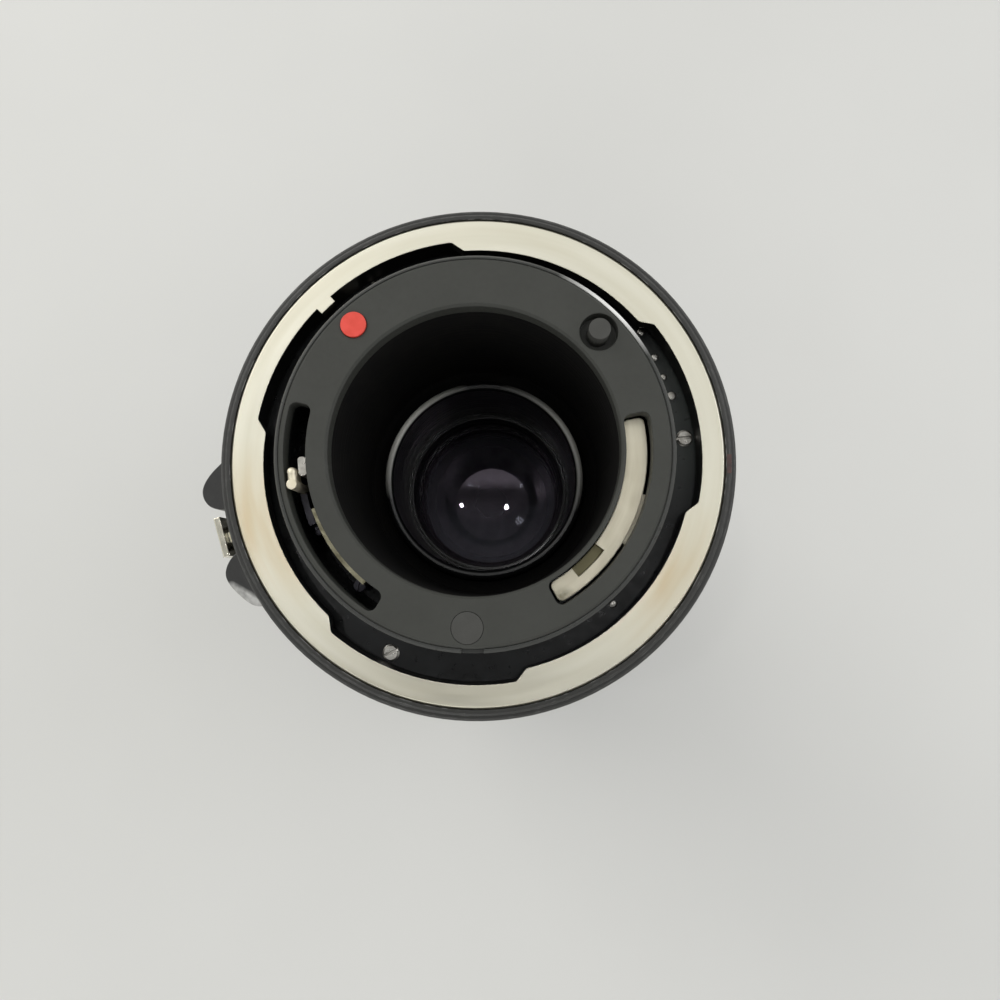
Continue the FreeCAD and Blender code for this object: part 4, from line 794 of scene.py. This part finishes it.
# %% Screws and rivets of the seat
def slotted_head(bm, radius, angle, z0, size, height, slot_turn):
    """A low screw head: two halves with the slot left between them, on a thin disc."""
    upright_disc(bm, radius, angle, z0, z0 + height * 0.55, size, height * 0.1)
    for side in (-1, 1):
        made = bmesh.ops.create_cone(bm, cap_ends=True, segments=24, radius1=size * MM,
                                     radius2=size * 0.82 * MM, depth=height * MM)["verts"]
        edges = list({e for v in made for e in v.link_edges})
        geom = made + edges + list({f for v in made for f in v.link_faces})
        cut = bmesh.ops.bisect_plane(bm, geom=geom, plane_co=(0, side * size * 0.16 * MM, 0),
                                     plane_no=(0, -side, 0), clear_outer=True)
        rim = [e for e in cut["geom_cut"] if isinstance(e, bmesh.types.BMEdge)]
        bmesh.ops.holes_fill(bm, edges=rim, sides=0)
        left = cut["geom"] + cut["geom_cut"]
        half = {v for v in left if isinstance(v, bmesh.types.BMVert) and v.is_valid}
        slot = Matrix.Rotation(math.radians(slot_turn), 4, "Z")
        place = place_at(radius, angle, z0 + height / 2) @ slot
        bmesh.ops.transform(bm, matrix=place, verts=list(half))


seat_z = seat_flange_z - 0.2
seat_screw_r = 26.9
seat_screws = ((6.2, 0.0), (126.2, 75.0), (246.2, 140.0))
seat_rivets = ((26.6, 18.6, 0.6), (26.6, 24.4, 0.42), (26.85, 30.5, 0.48), (27.35, 38.6, 0.5),
               (25.2, 313.1, 0.5), (27.75, 120.6, 0.38), (27.6, 118.1, 0.38))
bm = bmesh.new()
for angle, slot_turn in seat_screws:
    slotted_head(bm, seat_screw_r, angle, seat_z, 1.08, 0.6, slot_turn)
placed("seat_screws", bm, "mount_core", bare_steel)

bm = bmesh.new()
for radius, angle, size in seat_rivets:
    upright_disc(bm, radius, angle, seat_z, seat_z + 0.55, size, 0.2, 16)
placed("seat_rivets", bm, "mount_core", bare_steel)
print("seat details", len(seat_screws) + len(seat_rivets))

# %% [markdown]
# ## Small things in the left slot and on the rim
# The bright pin of the automatic lever is welded to a short round bar, and below it lies a dark
# tail; both turn with the lever. A dull screw stands at the far end of the slot. A thin line of worn
# red on the black rim marks the locked place of the mount.

# %% Lever tail, slot screw and rim line
tail_top = ring_face_z + 2.0
tail_low = tail_top - 2.4
bm = bmesh.new()
spin_outline(bm, [(21.0, tail_low), (22.1, tail_low), (22.25, tail_low + 0.2), (22.25, tail_top - 0.25),
                  (22.0, tail_top), (21.2, tail_top), (21.0, tail_top - 0.2)], 191.2, 12.8, 10)
upright_disc(bm, 21.55, 206.6, tail_top - 3.2, tail_top - 0.9, 0.5, 0.15, 16)
spin_outline(bm, [(21.2, tail_low), (21.9, tail_low), (21.9, tail_low + 1.0), (21.2, tail_low + 1.0)],
             203.6, 3.0, 3)
placed("lever_tail", bm, "auto_lever", blued_spring_steel)

bar_top = plate_top_z + 0.3
bar_low = bar_top - 2.2
bar_r = 21.72
bar_half = 0.55
bar_start = 187.4
bm = bmesh.new()
outline = []
for turn in range(0, 181, 30):
    across, up = math.cos(math.radians(turn)), math.sin(math.radians(turn))
    outline.append((bar_r + bar_half * across, bar_top - bar_half + bar_half * up))
outline += [(bar_r - bar_half, bar_low), (bar_r + bar_half, bar_low)]
spin_outline(bm, outline, bar_start, 4.3, 8)
upright_disc(bm, bar_r, bar_start, bar_low, bar_top, bar_half, 0.4, 20)
placed("lever_bar", bm, "auto_lever", lever_nickel)

slot_screw_r, slot_screw_angle = 21.45, 229.0
slot_floor_z = 149.7
bm = bmesh.new()
slotted_head(bm, slot_screw_r, slot_screw_angle, ring_face_z + 0.6, 0.8, 0.5, 30.0)
upright_disc(bm, slot_screw_r, slot_screw_angle, slot_floor_z, ring_face_z + 0.7, 0.55, 0.1, 16)
placed("slot_screw", bm, "mount_core", blued_spring_steel)

line_in, line_out = 31.12, 31.7
line_low, line_top = ring_face_z - 0.06, ring_face_z - 0.02
bm = bmesh.new()
spin_outline(bm, [(line_in, line_low), (line_out, line_low), (line_out, line_top), (line_in, line_top)],
             -4.0, 4.3, 6)
placed("rim_line", bm, "barrel", worn_red)
print("slot and rim details", 4)

# %% [markdown]
# ## Filter thread
# The thread of the filter ring is spun from a saw-tooth outline. A real thread climbs, which can't
# be seen at this pitch, so plain rings are used.

# %% Thread rings
thread_r = 28.6
thread_depth = 0.4
thread_z0, thread_z1 = 0.6, 5.2
thread_pitch = 0.75
teeth = int((thread_z1 - thread_z0) / thread_pitch)
outline = []
for k in range(teeth):
    foot_z = thread_z0 + k * thread_pitch
    outline += [(thread_r - 0.02, foot_z), (thread_r - thread_depth, foot_z + thread_pitch / 2)]
last_z = thread_z0 + teeth * thread_pitch
outline += [(thread_r - 0.02, last_z), (thread_r + 0.02, last_z), (thread_r + 0.02, thread_z0)]
bm = bmesh.new()
spin_outline(bm, outline)
placed("filter_thread", bm, "front_cell", anodised_black, 20.0)
print("thread rings", teeth)

# %% [markdown]
# ## Floor, light and camera
# The lens stands on a plain pale floor. Three soft lamps and a pale world light it, as in a small
# studio. Two small lamps overhead make the two bright points in the rear glass. A dark card in the
# world, over the lens, stands for the one who takes the picture: it gives the dome in the glass its
# flat lower edge. The sizes of the floor and the lamps, and the places of the lamps, are in metres.
# The camera looks down at the mount from 94 mm, as the photograph does: its place and its tilt were
# found from the ellipses that the rings make in the photograph.

# %% Floor
floor_mesh = bpy.data.meshes.new("floor")
bm = bmesh.new()
bmesh.ops.create_circle(bm, cap_ends=True, segments=96, radius=14.0)
bm.to_mesh(floor_mesh)
bm.free()
floor = bpy.data.objects.new("floor", floor_mesh)
bpy.context.scene.collection.objects.link(floor)
floor_finish, tree, shader = start_finish("pale_studio_floor", "#d9d9d6", 0.6)
feed(tree, shader, Base_Color=two_tone(tree, blotches(tree, 90.0), "#dadad7", "#d8d8d5"))
floor_mesh.materials.append(floor_finish)
print("floor", "at z 0")

# %% World
world = bpy.data.worlds.new("studio")
bpy.context.scene.world = world
world.use_nodes = True
tree = world.node_tree
background = tree.nodes["Background"]
heading = add(tree, "SeparateXYZ", {0: add(tree, "TexCoord").outputs["Generated"]})
sideways = add(tree, "Math", {0: heading.outputs["X"], 1: 0.04}, operation="ADD").outputs[0]
sideways = add(tree, "Math", {0: sideways}, operation="ABSOLUTE").outputs[0]
card_width = share(tree, sideways, 0.42, 0.28)
far_edge = share(tree, heading.outputs["Y"], 0.2, 0.14)
near_edge = share(tree, heading.outputs["Y"], -0.75, -0.5)
overhead = share(tree, heading.outputs["Z"], 0.0, 0.5)
card = product(tree, card_width, far_edge, near_edge, overhead)
around = ranged(tree, card, 0.94, 0.14, 0.0, 1.0)
seen = {"Value": add(tree, "LightPath").outputs["Is Camera Ray"], "To Min": around, "To Max": 0.9}
background.inputs["Color"].default_value = linear("#f2f2f0")
tree.links.new(add(tree, "MapRange", seen).outputs["Result"], background.inputs["Strength"])
print("world", world.name)


# %% Lamps
def soft_lamp(name, place, size, power, colour):
    lamp = bpy.data.lights.new(name, "AREA")
    lamp.shape = "DISK"
    lamp.size = size
    lamp.energy = power
    lamp.color = linear(colour)[:3]
    holder = bpy.data.objects.new(name, lamp)
    holder.location = place
    aim = Vector((0, 0, 0.1)) - Vector(place)
    holder.rotation_euler = aim.to_track_quat("-Z", "Y").to_euler()
    bpy.context.scene.collection.objects.link(holder)


soft_lamp("key_lamp", (-0.85, 0.85, 0.95), 1.0, 5.4, "#fffdf8")
soft_lamp("fill_lamp", (0.95, 0.25, 0.8), 0.9, 2.6, "#f6f8ff")
soft_lamp("low_lamp", (-0.3, -1.1, 0.5), 0.8, 1.7, "#ffffff")
soft_lamp("left_spark", (-0.136, 0.02, 0.7), 0.016, 0.1, "#ffffff")
soft_lamp("right_spark", (0.053, 0.012, 0.72), 0.02, 0.12, "#ffffff")
print("lamps", 5)

# %% Camera
camera_x, camera_y, camera_above = 5.29, -15.93, 93.71
camera_data = bpy.data.cameras.new("camera")
camera_data.lens = 27.36
camera_data.sensor_width = 36.0
camera_data.clip_start = 0.005
camera = bpy.data.objects.new("camera", camera_data)
view_direction = Vector((-0.0244, 0.1100, -0.9936)).normalized()
side = view_direction.cross(Vector((0, 0.9939, 0.1100))).normalized()
up = side.cross(view_direction)
turned = Matrix((side, up, -view_direction)).transposed().to_4x4()
camera_place = Vector((camera_x, camera_y, ring_face_z + camera_above)) * MM
camera.matrix_world = Matrix.Translation(camera_place) @ turned
bpy.context.scene.collection.objects.link(camera)
bpy.context.scene.camera = camera
bpy.context.scene.view_settings.view_transform = "Standard"
print("camera at", [round(c, 4) for c in camera.location])
